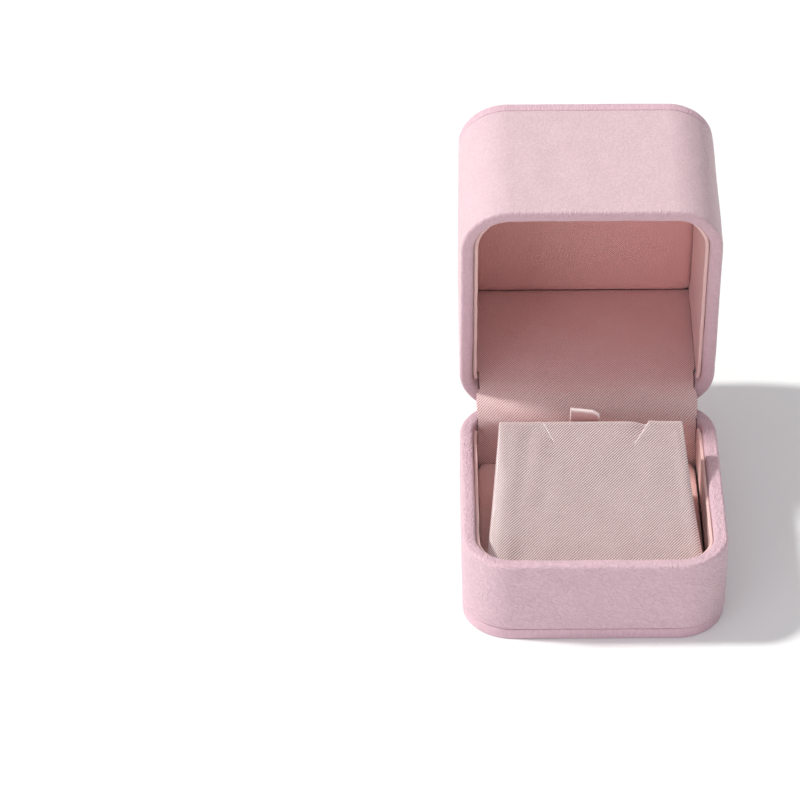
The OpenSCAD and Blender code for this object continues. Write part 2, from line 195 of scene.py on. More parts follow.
def on_lid(p):
    """From half-case coordinates, plate down, to the open lid in the row frame."""
    z = -p[:, 2] + LID_H + 0.05
    y = p[:, 1] - HY
    return np.stack([p[:, 0], HY + y * math.cos(OPEN) + z * math.sin(OPEN),
                     HZ - y * math.sin(OPEN) + z * math.cos(OPEN)], 1)


def build(name, v, f, uv, material, lid=False, merge=False, sharp=35):
    if lid:
        v = on_lid(v)
        k, out = 0, []
        for face in f:
            out += uv[k:k + len(face)][::-1]
            k += len(face)
        f, uv = [face[::-1] for face in f], out
    me = bpy.data.meshes.new(name)
    me.from_pydata((np.asarray(v) * MM).tolist(), [], f)
    layer = me.uv_layers.new(name="uv")
    layer.data.foreach_set("uv", (np.array(uv, np.float32) * MM).ravel())
    me.validate()
    if merge:
        bm = bmesh.new()
        bm.from_mesh(me)
        bmesh.ops.remove_doubles(bm, verts=bm.verts, dist=2e-6)
        bm.to_mesh(me)
        bm.free()
    o = bpy.data.objects.new(name, me)
    bpy.context.scene.collection.objects.link(o)
    me.materials.append(material)
    me.polygons.foreach_set("use_smooth", [True] * len(me.polygons))
    if sharp and hasattr(me, "set_sharp_from_angle"):
        me.set_sharp_from_angle(angle=math.radians(sharp))
    me.update()
    return o


def applied(o):
    """Turns an object's modifiers into its mesh."""
    dg = bpy.context.evaluated_depsgraph_get()
    me = bpy.data.meshes.new_from_object(o.evaluated_get(dg), preserve_all_data_layers=True, depsgraph=dg)
    o.modifiers.clear()
    old = o.data
    o.data = me
    bpy.data.meshes.remove(old)
    me.name = o.name
    return o


# ---- materials --------------------------------------------------------------

class Nodes:
    """A material's node tree, with short names for the nodes used here."""

    def __init__(self, name):
        self.m = bpy.data.materials.new(name)
        self.m.use_nodes = True
        self.t = self.m.node_tree
        self.t.nodes.clear()
        self.out = self.add("ShaderNodeOutputMaterial")
        self.bsdf = self.add("ShaderNodeBsdfPrincipled")
        self.t.links.new(self.bsdf.outputs[0], self.out.inputs["Surface"])

    def add(self, kind, **kw):
        n = self.t.nodes.new(kind)
        for k, v in kw.items():
            setattr(n, k, v)
        return n

    def link(self, a, b):
        self.t.links.new(a, b)

    def put(self, socket, x):
        if hasattr(x, "is_output"):
            self.link(x, socket)
        else:
            socket.default_value = x

    def math(self, op, a, b=None, c=None, clamp=False):
        n = self.add("ShaderNodeMath", operation=op, use_clamp=clamp)
        for k, x in enumerate((a, b, c)):
            if x is not None:
                self.put(n.inputs[k], x)
        return n.outputs[0]

    def coords(self, kind="Object", scale=1000.0, stretch=None):
        """Coordinates in millimetres."""
        if kind == "UV":
            src = self.add("ShaderNodeUVMap", uv_map="uv").outputs[0]
        else:
            src = self.add("ShaderNodeTexCoord").outputs[kind]
        n = self.add("ShaderNodeVectorMath", operation="MULTIPLY")
        self.link(src, n.inputs[0])
        s = stretch or (1, 1, 1)
        n.inputs[1].default_value = tuple(scale * x for x in s)
        return n.outputs[0]

    def noise(self, vec, size, detail=2.0, rough=0.5, distortion=0.0):
        n = self.add("ShaderNodeTexNoise")
        self.link(vec, n.inputs["Vector"])
        n.inputs["Scale"].default_value = 1.0 / size
        n.inputs["Detail"].default_value = detail
        n.inputs["Roughness"].default_value = rough
        n.inputs["Distortion"].default_value = distortion
        return n.outputs["Fac"]

    def voronoi(self, vec, size, feature="F1", smoothness=None):
        n = self.add("ShaderNodeTexVoronoi", feature=feature)
        self.link(vec, n.inputs["Vector"])
        n.inputs["Scale"].default_value = 1.0 / size
        if smoothness is not None and "Smoothness" in n.inputs:
            n.inputs["Smoothness"].default_value = smoothness
        return n.outputs["Distance"]

    def ramp(self, fac, *stops):
        n = self.add("ShaderNodeValToRGB")
        self.link(fac, n.inputs[0])
        e = n.color_ramp.elements
        while len(e) < len(stops):
            e.new(0.5)
        for k, (pos, col) in enumerate(stops):
            e[k].position = pos
            e[k].color = (*col, 1)
        return n.outputs["Color"]

    def spread(self, fac, a, b):
        """Maps 0 to 1 onto a to b."""
        n = self.add("ShaderNodeMapRange")
        self.put(n.inputs["Value"], fac)
        n.inputs["To Min"].default_value = a
        n.inputs["To Max"].default_value = b
        return n.outputs["Result"]

    def bump(self, height, distance, strength=1.0, normal=None):
        n = self.add("ShaderNodeBump")
        self.link(height, n.inputs["Height"])
        n.inputs["Distance"].default_value = distance
        n.inputs["Strength"].default_value = strength
        if normal is not None:
            self.link(normal, n.inputs["Normal"])
        return n.outputs[0]

    def set(self, **kw):
        for k, v in kw.items():
            self.put(self.bsdf.inputs[k.replace("_", " ")], v)


def lin(r, g, b):
    """sRGB 0 to 255 to linear."""
    return tuple((x / 255 / 12.92 if x <= 10.3 else ((x / 255 + 0.055) / 1.055) ** 2.4) for x in (r, g, b))


def mixed(a, b, t):
    return tuple(x + (y - x) * t for x, y in zip(a, b))


def leather(name, col, grain=0.50, bump=0.00022, rough=0.50, drawn=False):
    """Soft coated leather: fine uneven pebbles, wandering creases and pores."""
    n = Nodes(name)
    if drawn:
        co = n.coords("UV", stretch=(1, 0.3, 1))
    else:
        lay = n.add("ShaderNodeVectorRotate", rotation_type="Z_AXIS")
        n.link(n.coords("UV"), lay.inputs["Vector"])
        lay.inputs["Angle"].default_value = 0.55
        run = n.add("ShaderNodeVectorMath", operation="MULTIPLY")
        n.link(lay.outputs[0], run.inputs[0])
        run.inputs[1].default_value = (0.55, 1, 1)
        co = run.outputs[0]
    warp = n.noise(co, 1.6, 2.0)
    bent = n.add("ShaderNodeVectorMath", operation="ADD")
    n.link(co, bent.inputs[0])
    wn = n.add("ShaderNodeTexNoise")
    n.link(co, wn.inputs["Vector"])
    wn.inputs["Scale"].default_value = 1 / 0.9
    wn.inputs["Detail"].default_value = 1.0
    wv = n.add("ShaderNodeVectorMath", operation="SCALE")
    n.link(wn.outputs["Color"], wv.inputs[0])
    wv.inputs["Scale"].default_value = 0.5
    n.link(wv.outputs[0], bent.inputs[1])
    cell = n.voronoi(bent.outputs[0], grain, "SMOOTH_F1", 0.55)
    pebble = n.math("MULTIPLY", cell, -1.0)
    fine = n.noise(bent.outputs[0], grain * 0.8, 2.0, 0.5)
    crease = n.math("ABSOLUTE", n.math("SUBTRACT", n.noise(bent.outputs[0], grain * 2.2, 2.0, 0.55), 0.5))
    height = n.math("ADD", n.math("ADD", n.math("MULTIPLY", pebble, 0.55), n.math("MULTIPLY", fine, 0.9)),
                    n.math("MULTIPLY", n.math("MINIMUM", crease, 0.08), 3.0))
    b = n.bump(height, bump)
    b = n.bump(n.noise(co, 5.5, 1.5), 0.00005, 0.6, b)
    # fine wrinkles where the leather is drawn over the rim's shoulder
    uv = n.coords("UV", stretch=(1, 0.28, 1))
    skew = n.add("ShaderNodeVectorRotate", rotation_type="Z_AXIS")
    n.link(uv, skew.inputs["Vector"])
    skew.inputs["Angle"].default_value = 0.35
    mark = n.add("ShaderNodeAttribute", attribute_name="rim")
    b = n.bump(n.math("MULTIPLY", n.noise(skew.outputs[0], 0.55, 1.5, 0.5), mark.outputs["Fac"]), 0.00027, 1.0, b)
    tone = n.noise(co, 7.0, 3.0, 0.55)
    colour = n.ramp(tone, (0.3, mixed(col, (0, 0, 0), 0.035)), (0.7, mixed(col, (1, 1, 1), 0.02)))
    # painted shade: a deeper, pinker tone multiplied in on the rim's face, standing in for the shade it sits in
    painted_rim_shade = n.add("ShaderNodeAttribute", attribute_name="painted_rim_shade")
    rim_shade_tint = n.ramp(painted_rim_shade.outputs["Fac"], (0.2, (1, 1, 1)), (1.0, (0.94, 0.865, 0.90)))
    dark = n.ramp(n.math("ADD", n.math("MULTIPLY", fine, 0.55), n.math("MULTIPLY", n.math("MINIMUM", crease, 0.1), 3.6)),
                  (0.30, (0.93, 0.92, 0.925)), (0.62, (1, 1, 1)))
    mx = n.add("ShaderNodeMix", data_type="RGBA", blend_type="MULTIPLY")
    mx.inputs[0].default_value = 1.0
    n.link(colour, mx.inputs["A"])
    n.link(dark, mx.inputs["B"])
    mx2 = n.add("ShaderNodeMix", data_type="RGBA", blend_type="MULTIPLY")
    mx2.inputs[0].default_value = 1.0
    n.link(mx.outputs["Result"], mx2.inputs["A"])
    n.link(rim_shade_tint, mx2.inputs["B"])
    n.set(Base_Color=mx2.outputs["Result"], Normal=b, Roughness=n.spread(n.math("ADD", n.math("MULTIPLY", fine, 0.6), n.math("MULTIPLY", warp, 0.4)), rough - 0.07, rough + 0.1),
          Specular_IOR_Level=0.34, Coat_Weight=0.0, Sheen_Weight=0.03, Sheen_Roughness=0.4, IOR=1.45)
    n.bsdf.inputs["Sheen Tint"].default_value = (1.0, 0.93, 0.95, 1)
    return n.m


def satin(name, low, high, pitch=0.41, slant=1.0, bump=0.00004, rough=0.42, sheen=0.35, contrast=1.0, aniso=0.55, spec=0.5, sharp=0.12, calm=None, painted_fold_highlight=None, crisp=1.0):
    """Twill-backed satin: slanting ribs of fine float threads, on UVs in metres."""
    n = Nodes(name)
    uv = n.coords("UV")
    sep = n.add("ShaderNodeSeparateXYZ")
    n.link(uv, sep.inputs[0])
    u, v = sep.outputs[0], sep.outputs[1]
    drift = n.math("MULTIPLY", n.math("SUBTRACT", n.noise(uv, 3.5, 2.0), 0.5), 0.30)
    shake = n.math("MULTIPLY", n.math("SUBTRACT", n.noise(uv, 0.45, 2.0), 0.5), 0.16)
    a = n.math("MULTIPLY", n.math("SUBTRACT", n.math("MULTIPLY", u, slant), v), 0.7071)
    a = n.math("ADD", n.math("ADD", a, drift), shake)
    rib = n.math("SINE", n.math("MULTIPLY", a, 2 * math.pi / pitch))
    rib = n.math("ADD", n.math("MULTIPLY", rib, 0.5), 0.5)
    turn = n.math("FLOOR", n.math("DIVIDE", a, pitch))
    b = n.math("ADD", n.math("MULTIPLY", n.math("ADD", n.math("MULTIPLY", u, slant), v), 0.7071), n.math("MULTIPLY", turn, 0.37))
    thread = n.math("ADD", n.math("MULTIPLY", n.math("SINE", n.math("MULTIPLY", b, 2 * math.pi / 0.19)), 0.5), 0.5)
    fuzz = n.noise(uv, 0.16, 2.0, 0.6)
    height = n.math("ADD", n.math("ADD", rib, n.math("MULTIPLY", thread, 0.04)), n.math("MULTIPLY", fuzz, 0.12))
    nb = n.bump(n.noise(uv, 4.5, 2.0), 0.00006, 0.5)
    nb = n.bump(height, bump, 1.0, nb)
    if calm:
        # the ribs are pressed flatter further along the cloth
        ease = n.add("ShaderNodeMapRange")
        n.link(v, ease.inputs["Value"])
        for key, x in zip(("From Min", "From Max", "To Min", "To Max"), (calm[0], calm[1], 1.0, calm[2])):
            ease.inputs[key].default_value = x
        rib = n.math("ADD", n.math("MULTIPLY", n.math("SUBTRACT", rib, 0.5), ease.outputs["Result"]), 0.5)
    rib = n.math("POWER", rib, crisp)
    k = n.math("ADD", n.math("ADD", n.math("MULTIPLY", rib, 0.74), n.math("MULTIPLY", fuzz, 0.18)), n.math("MULTIPLY", n.noise(uv, 9.0, 2.0), 0.12), clamp=True)
    mid = mixed(low, high, 0.5)
    colour = n.ramp(k, (sharp, mixed(mid, low, contrast)), (1 - sharp, mixed(mid, high, contrast)))
    if painted_fold_highlight:
        # painted highlight: a paler colour mixed in along folds, ridges and edges, where the satin would catch the
        # light
        highlight_attr = n.add("ShaderNodeAttribute", attribute_name="painted_fold_highlight")
        mx = n.add("ShaderNodeMix", data_type="RGBA", blend_type="MIX")
        n.link(n.math("MULTIPLY", highlight_attr.outputs["Fac"], n.spread(n.noise(uv, 0.3, 2.0), 0.6, 1.0)), mx.inputs[0])
        n.link(colour, mx.inputs["A"])
        mx.inputs["B"].default_value = (*painted_fold_highlight, 1)
        colour = mx.outputs["Result"]
    n.set(Base_Color=colour, Normal=nb, Roughness=n.spread(n.math("ADD", n.math("MULTIPLY", rib, -0.6), n.math("MULTIPLY", fuzz, 1.2)), rough - 0.06, rough + 0.12),
          Specular_IOR_Level=spec, Sheen_Weight=sheen, Sheen_Roughness=0.35, Anisotropic=aniso, IOR=1.5)
    n.bsdf.inputs["Sheen Tint"].default_value = (1.0, 0.93, 0.92, 1)
    tan = n.add("ShaderNodeTangent", direction_type="UV_MAP", uv_map="uv")
    n.link(tan.outputs[0], n.bsdf.inputs["Tangent"])
    return n.m


def plain(name, col, size, bump, rough, metal=0.0, spread=0.06, spec=0.5, stretch=None, aniso=0.0):
    """Hidden board, card, foam, plastic and metal: uneven tone, fine surface, no pattern."""
    n = Nodes(name)
    co = n.coords("Object", stretch=stretch)
    fine = n.noise(co, size, 4.0, 0.6)
    tone = n.noise(co, size * 14, 2.0)
    colour = n.ramp(n.math("ADD", n.math("MULTIPLY", fine, 0.5), n.math("MULTIPLY", tone, 0.5)),
                    (0.3, mixed(col, (0, 0, 0), spread)), (0.7, mixed(col, (1, 1, 1), spread)))
    n.set(Base_Color=colour, Normal=n.bump(fine, bump), Roughness=n.spread(fine, rough - 0.08, rough + 0.08),
          Metallic=metal, Specular_IOR_Level=spec, Anisotropic=aniso)
    return n.m


PINK = lin(224, 196, 201)
# painted light: the base's and the plates' copies of the leather colour are lighter and mauver than the lid's, for the
# light on the base's front
BASE_PINK_PAINTED_LIGHT = lin(228, 196, 205)
PLATE_PINK_PAINTED_LIGHT = lin(224, 190, 200)
M_LEATHER = leather("pink_leather", PINK, grain=0.42, bump=0.00010)
M_LEATHER_BASE_PAINTED_LIGHT = leather("pink_leather_base_painted_light", BASE_PINK_PAINTED_LIGHT, grain=0.46, bump=0.00032)
M_PLATE = leather("pink_leather_plate", PLATE_PINK_PAINTED_LIGHT, grain=0.40, bump=0.00013, drawn=True)
M_SATIN = satin("pink_satin", lin(218, 158, 153), lin(254, 207, 201), pitch=0.47, contrast=0.8, bump=0.00002)
M_BAND = satin("pink_satin_band", lin(222, 176, 171), lin(255, 224, 218), pitch=0.42, bump=0.00003, contrast=0.8)
M_STRIP = satin("pink_satin_strip", lin(214, 152, 150), lin(255, 246, 243), pitch=0.51, bump=0.00004, rough=0.38, sharp=0.14, spec=0.7, calm=(30, 50, 0.30), crisp=1.7)
# painted light: the floor pad's satin is a paler copy of the pink satin, making up for the shade inside the base
M_SATIN_FLOOR_PAINTED_LIGHT = satin("pink_satin_floor_painted_light", lin(226, 176, 171), lin(255, 222, 217), pitch=0.47, contrast=0.9)
# the blush satin and the ribbon carry a painted highlight colour for their folds and edges
M_BLUSH = satin("blush_satin", lin(150, 119, 116), lin(238, 221, 219), pitch=0.51, bump=0.00005, rough=0.30, sheen=0.25, aniso=0.45, sharp=0.14, spec=0.9, crisp=1.7, painted_fold_highlight=lin(255, 240, 236))
M_TAB = satin("blush_ribbon", lin(190, 134, 131), lin(230, 184, 180), pitch=0.26, bump=0.00004, rough=0.36, painted_fold_highlight=lin(255, 244, 240))
M_PLASTIC = plain("moulded_plastic", lin(226, 222, 216), 0.35, 0.00002, 0.45)
M_BOARD = plain("grey_board", lin(178, 168, 158), 0.5, 0.00005, 0.85, spread=0.12)
M_CARD = plain("white_card", lin(228, 222, 214), 0.3, 0.00002, 0.8)
M_FOAM = plain("foam", lin(240, 232, 218), 0.25, 0.00012, 0.95, spread=0.1)
M_STEEL = plain("plated_steel", (0.62, 0.61, 0.60), 0.2, 0.000004, 0.3, metal=1.0, stretch=(0.08, 1, 1), aniso=0.4)
M_SPRING = plain("spring_steel", (0.45, 0.45, 0.46), 0.15, 0.000006, 0.34, metal=1.0, stretch=(1, 0.2, 0.2))

for node, m in {
    "base_frame": M_PLASTIC, "lid_frame": M_PLASTIC, "base_plate_board": M_BOARD, "lid_plate_board": M_BOARD,
    "base_floor_board": M_BOARD, "lid_pad_board": M_BOARD, "base_lining_card": M_CARD, "lid_lining_card": M_CARD,
    "base_back_card": M_CARD, "lid_back_card": M_CARD, "insert_card": M_CARD, "base_floor_foam": M_FOAM,
    "lid_pad_foam": M_FOAM, "insert_foam": M_FOAM, "hinge_base_leaf": M_STEEL, "hinge_lid_leaf": M_STEEL,
    "hinge_base_rivets": M_STEEL, "hinge_lid_rivets": M_STEEL, "hinge_pin": M_STEEL, "hinge_spring": M_SPRING,
    "base_leather": M_LEATHER_BASE_PAINTED_LIGHT, "lid_leather": M_LEATHER, "base_plate_leather": M_PLATE, "lid_plate_leather": M_PLATE,
    "base_lining_satin": M_BAND, "lid_lining_satin": M_BAND, "base_floor_satin": M_SATIN_FLOOR_PAINTED_LIGHT, "lid_pad_satin": M_SATIN,
    "hinge_cover_satin": M_STRIP, "insert_satin": M_BLUSH, "insert_ribbon": M_TAB,
}.items():
    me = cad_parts[node].data
    me.materials.clear()
    me.materials.append(m)


# ---- leather walls ----------------------------------------------------------

C, N, S = ring()


def wall(name, h, lid, seed):
    """The leather round one half: up the outside, over the rim and turned in."""
    z0 = PLATE_T + 0.02
    # the rim: crowned, with a fairly tight outer shoulder
    t = np.radians(np.linspace(0, 180, 39))
    cx, sx = np.cos(t), np.sin(t)
    rim_top = np.stack([R - WALL / 2 + WALL / 2 * np.sign(cx) * np.abs(cx) ** (2 / 2.8),
                        h - 1.25 + 1.25 * np.abs(sx) ** (2 / 2.6)], 1)
    top_out, top_in = rim_top[:20], rim_top[19:]
    outer = chain(line((R - 0.99, z0), (R - 0.45, z0), 0.2), arc(R - 0.45, z0 + 0.45, 0.45, -90, 0, 7),
                  line((R, z0 + 0.45), (R, h - 1.25), 0.9), top_out)
    rest = chain(top_in, line((R - WALL, h - 1.25), (R - WALL, h - 5.75), 0.7),
                 arc(R - WALL + 0.24, h - 5.76, 0.24, 180, 360, 7),
                 line((R - 2.81, h - 5.7), (R - 2.81, h - 1.2), 0.8), arc(R - 2.61, h - 1.2, 0.2, 180, 90, 4),
                 arc(R - 1.19, h - 1.2, 0.2, 90, 0, 4))
    down = line((R - 0.99, h - 1.7), (R - 0.99, z0 + 0.4), 1.6)
    full = chain(outer, rest, down)
    a = int(np.argmin(np.abs(full[:len(outer), 0] - (R - 1.0)) + 10 * (full[:len(outer), 1] < h - 1.6)))
    b = len(full) - len(down)
    # over the knuckles only the outer skin goes up to the rim
    cut = full.copy()
    t = np.linspace(0, 1, b - a + 1)[:, None]
    cut[a:b + 1] = np.array([R - 0.995, full[a, 1]]) * (1 - t) + np.array([R - 0.995, h - 1.75]) * t
    prof = np.tile(full, (len(C), 1, 1))
    notch = (N[:, 1] > 0.999) & (np.abs(C[:, 0]) < 15.45)
    prof[notch] = cut
    # drawn-in and puffed places of hand-wrapped leather
    v, f, uv = sweep(C, N, S, prof)
    nrm = normals(v, f)
    m = len(full)
    skin = np.zeros(m)
    skin[:len(outer) + len(top_in) + 4] = 1
    skin[:6] = 0.15
    skin = np.tile(skin, len(C))
    rim = np.tile(smooth(full[:, 1], h - 3.2, h - 1.0), len(C)) * skin
    corner = np.repeat(1 - np.maximum(np.abs(N[:, 0]), np.abs(N[:, 1])) ** 6, m)
    along = np.repeat(S[:-1], m)
    prof_s = np.tile(np.r_[0, np.cumsum(np.linalg.norm(np.diff(full, axis=0), axis=1))], len(C))
    pleat = waves(np.stack([along + 0.5 * prof_s, prof_s * 0.3], 1), 1.7, seed + 5)
    d = 0.045 * waves(v, 13, seed) * skin + 0.018 * waves(v, 3.6, seed + 1) * skin
    shoulder = np.exp(-((prof_s - prof_s[np.argmin(np.abs(full[:, 0] - (R - 0.35)) + 10 * (full[:, 1] < h - 1.6))]) / 0.9) ** 2)
    drawn = 1.0 if lid else 0.3
    d += 0.016 * drawn * pleat * rim * shoulder * (0.6 + 0.9 * corner)
    if not lid:
        d += 0.30 * skin * np.repeat(np.clip(N[:, 0], 0, 1), m) * np.tile(smooth(full[:, 0], R - 1.2, R - 0.3), len(C))
    d -= 0.03 * skin * np.tile(np.exp(-((full[:, 1] - z0) / 0.9) ** 2), len(C))
    v = v + nrm * d[:, None]
    v[:, 2] = np.minimum(v[:, 2], h + 0.015)
    # both rear rims are pressed flat against each other when the lid is open
    q = OPEN / 2
    ny, nz = math.sin(q), math.cos(q)
    dist = (v[:, 1] - HY) * ny + (v[:, 2] - (h + 0.05)) * nz + 0.05
    k = 0.10
    soft = -k * np.log1p(np.exp(np.clip(-dist / k, -50, 50)))
    move = np.where(dist > -1.2, dist - soft, 0)
    v[:, 1] -= ny * move
    v[:, 2] -= nz * move
    o = build(name, v, f, uv, M_LEATHER if lid else M_LEATHER_BASE_PAINTED_LIGHT, lid=lid, sharp=55)
    mark = o.data.attributes.new("rim", "FLOAT", "POINT")
    mark.data.foreach_set("value", (drawn * rim * shoulder).astype(np.float32))
    # painted shade on the rim's face: full on the lid, 0.3 of it on the base
    mark = o.data.attributes.new("painted_rim_shade", "FLOAT", "POINT")
    face = np.tile(smooth(full[:, 1], h - 1.0, h - 0.1), len(C)) * skin
    mark.data.foreach_set("value", (drawn * face).astype(np.float32))
    return o


def plate_cover(name, lid, seed):
    """The leather over the plate: a shallow tray round the board."""
    g = 0.08
    r0 = R - g
    low = 0.9 if lid else 0.35
    side = chain(line((r0 - 1.0, 0.0), (r0 - low, 0.0), 0.3) if not lid else [(r0 - 1.0, 0.0)], arc(r0 - low, low, low, -90, 0, 13), line((r0, low), (r0, PLATE_T - 0.36), 0.35),
                 arc(r0 - 0.34, PLATE_T - 0.36, 0.34, 0, 90, 7), line((r0 - 0.34, PLATE_T - 0.02), (r0 - 0.98, PLATE_T - 0.02), 0.3),
                 line((r0 - 1.0, PLATE_T - 0.02), (r0 - 1.0, 1.02), 0.5))
    v, f, uv = sweep(C, N, S, side, closed_prof=False)
    m, k = len(side), len(C)
    out = [v]
    shrink = [0.93, 0.84, 0.74, 0.63, 0.52, 0.41, 0.3, 0.19, 0.09]

    def cap(first, z, flip):
        """Rings that run in to the middle from profile point `first`."""
        loops = [np.arange(k) * m + first]
        base = v[loops[0]]
        for t in shrink:
            start = sum(len(x) for x in out)
            p = base * [t, t, 1]
            p[:, 2] = z
            out.append(p)
            loops.append(start + np.arange(k))
        for a, b, ta, tb in zip(loops, loops[1:], [1] + shrink, shrink):
            for i in range(k):
                j = (i + 1) % k
                face = [a[i], b[i], b[j], a[j]]
                cuv = [(base[i, :2] * ta), (base[i, :2] * tb), (base[j, :2] * tb), (base[j, :2] * ta)]
                if flip:
                    face, cuv = face[::-1], cuv[::-1]
                f.append([int(x) for x in face])
                uv.extend([tuple(x) for x in cuv])
        last = [int(x) for x in loops[-1]]
        luv = [tuple(base[i, :2] * shrink[-1]) for i in range(k)]
        if not flip:
            last, luv = last[::-1], luv[::-1]
        f.append(last)
        uv.extend(luv)

    cap(0, 0.0, False)
    cap(m - 1, 1.02, True)
    v = np.concatenate(out)
    nrm = normals(v, f)
    skin = smooth(-v[:, 2], -2.6, -1.8)
    inside = (np.abs(v[:, 2] - 1.02) < 0.01) & (np.abs(nrm[:, 2]) > 0.5)
    d = (0.03 * waves(v, 14, seed) + 0.012 * waves(v, 3.2, seed + 1)) * skin
    d[inside] = 0
    if lid:
        e = 1 - np.minimum(1, np.maximum(np.abs(v[:, 0]) / (W / 2 - 2), np.abs(v[:, 1]) / (D / 2 - 2)))
        v[:, 2] -= np.where((v[:, 2] < 0.5), 0.16 * smooth(e, 0, 0.35), 0)
        v = v + nrm * d[:, None]
    else:
        d = np.where(v[:, 2] < 0.25, -np.abs(d) * 0.3, d)
        v = v + nrm * d[:, None]
        v[:, 2] = np.maximum(v[:, 2], 0.0)
    o = build(name, v, f, uv, M_LEATHER if lid else M_LEATHER_BASE_PAINTED_LIGHT, lid=lid, sharp=50)
    # the narrow side has its own stretched grain and a painted-light colour tint
    o.data.materials.append(M_PLATE)
    up = on_lid(np.array([[0, 0, 1.0], [0, 0, 0]])) if lid else np.array([[0, 0, 1.0], [0, 0, 0]])
    up = Vector(up[0] - up[1]).normalized()
    o.data.polygons.foreach_set("material_index", [int(abs(q.normal.dot(up)) < 0.93) for q in o.data.polygons])
    return o


base_wall = wall("base_leather_wall", BASE_H, False, 11)
lid_wall = wall("lid_leather_wall", LID_H, True, 23)
base_cover = plate_cover("base_plate_cover", False, 31)
lid_cover = plate_cover("lid_plate_cover", True, 41)


# ---- lining bands -----------------------------------------------------------

def band(name, h, z0, lid, seed, bulge):
    """The satin band round the front and sides, folded over its card at the top."""
    phi = math.radians(16)
    keep = ~((N[:, 1] > math.sin(phi)))
    idx = np.where(keep)[0]
    # runs from the rear right, round the front, to the rear left
    right = idx[idx < len(C) // 2]
    left = idx[idx >= len(C) // 2]
    order = np.r_[left, right]
    c, n = C[order], N[order]
    s = np.r_[S[left] - S[-1], S[right]]
    zt = h - 1.4
    ro, ri = R - 3.42, R - 4.17 - bulge
    prof = chain(line((R - 3.89, z0), (R - 3.89, zt - 0.29), 1.2), line((R - 3.89, zt - 0.29), (ro, zt - 0.29), 0.2),
                 arc(ro - 0.24, zt - 0.24, 0.24, 0, 90, 6), arc(ri + 0.30, zt - 0.30, 0.30, 90, 180, 8),
                 line((ri, zt - 0.3), (R - 4.19, zt - 2.6), 0.4), line((R - 4.19, zt - 2.6), (R - 4.19, z0), 0.9))
    v, f, uv = sweep(c, n, s, prof, closed_path=False)
    m = len(prof)
    for end, flip in ((0, False), (len(c) - 1, True)):
        face = [end * m + j for j in range(m)]
        fuv = [tuple(prof[j]) for j in range(m)]
        f.append(face if flip else face[::-1])
        uv += fuv if flip else fuv[::-1]
    nrm = normals(v, f)
    inner = np.tile((prof[:, 0] < R - 3.95).astype(float), len(c))
    top = np.tile(smooth(prof[:, 1], zt - 1.2, zt - 0.1), len(c))
    along = np.repeat(s, m)
    d = inner * (0.06 * waves(np.stack([along, v[:, 2] * 0.6], 1), 9, seed) - 0.05)
    d += 0.018 * waves(np.stack([along, v[:, 2]], 1), 1.1, seed + 1) * top
    v = v + nrm * np.clip(d, -0.16, 0.05)[:, None]
    v[:, 2] += 0.10 * waves(np.stack([along], 1), 17, seed + 2) * np.tile(smooth(prof[:, 1], zt - 0.8, zt - 0.3), len(c))
    if lid:
        # it sits a little deeper behind the front of the rim
        v[:, 2] -= 0.95 * np.repeat(smooth(-n[:, 1], 0.55, 0.95), m) * smooth(v[:, 2], h - 9, h - 2)
    o = build(name, v, f, uv, M_BAND, lid=lid, sharp=60)
    length = float(np.linalg.norm(np.diff((c + n * (R - 4.17)), axis=0), axis=1).sum()) * MM
    return o, length, (zt - z0 + 1.0) * MM


base_band, base_band_l, base_band_w = band("base_lining_band", BASE_H, 10.05, False, 51, 0.10)
lid_band, lid_band_l, lid_band_w = band("lid_lining_band", LID_H, PAD_Z + 0.25, True, 61, 0.24)


# ---- pads: the raised floor and the inside of the lid -------------------------

def outline(inset, y_back, r_back, n_corner=14):
    """A rounded outline, cut off at y_back with corners of radius r_back."""
    hw, hf = W / 2 - inset, D / 2 - inset
    r = R - inset
    pts = []

    def corner(cx, cy, rad, a0, k):
        for t in np.linspace(a0, a0 + 90, k):
            pts.append((cx + rad * math.cos(math.radians(t)), cy + rad * math.sin(math.radians(t))))

    # the cut crosses the rear corner arcs of the case
    x_cut = CX + math.sqrt(max(r * r - (y_back - CY) ** 2, 0)) if y_back > CY else hw
    corner(CX, -CY, r, -90, n_corner)
    for t in np.linspace(0, math.degrees(math.asin(min(1, max(0, (y_back - r_back - CY) / r)))), 6)[1:]:
        pts.append((CX + r * math.cos(math.radians(t)), CY + r * math.sin(math.radians(t))))
    xe = pts[-1][0]
    for t in np.linspace(0, 90, 6)[1:]:
        pts.append((min(xe, x_cut) - r_back + r_back * math.cos(math.radians(t)), y_back - r_back + r_back * math.sin(math.radians(t))))
    right = np.array(pts)
    left = right[::-1] * [-1, 1]
    return np.concatenate([right, left])


def fill(poly, step):
    """Grid coordinates, `step` apart, across a polygon's bounds."""
    lo, hi = poly.min(0), poly.max(0)
    xs = np.arange(lo[0] + step / 2, hi[0], step)
    ys = np.arange(lo[1] + step / 2, hi[1], step)
    return xs, ys


def inside_distance(p, poly):
    """Distance from each point to the polygon's edge (positive inside)."""
    a, b = poly, np.roll(poly, -1, axis=0)
    best = np.full(len(p), 1e9)
    cross = np.zeros(len(p), bool)
    for q, r in zip(a, b):
        e = r - q
        t = np.clip(((p - q) @ e) / max(e @ e, 1e-12), 0, 1)
        best = np.minimum(best, np.linalg.norm(p - q - t[:, None] * e, axis=1))
        if q[1] != r[1]:
            hit = ((q[1] > p[:, 1]) != (r[1] > p[:, 1])) & (p[:, 0] < (r[0] - q[0]) * (p[:, 1] - q[1]) / (r[1] - q[1]) + q[0])
            cross ^= hit
    return np.where(cross, best, -best)


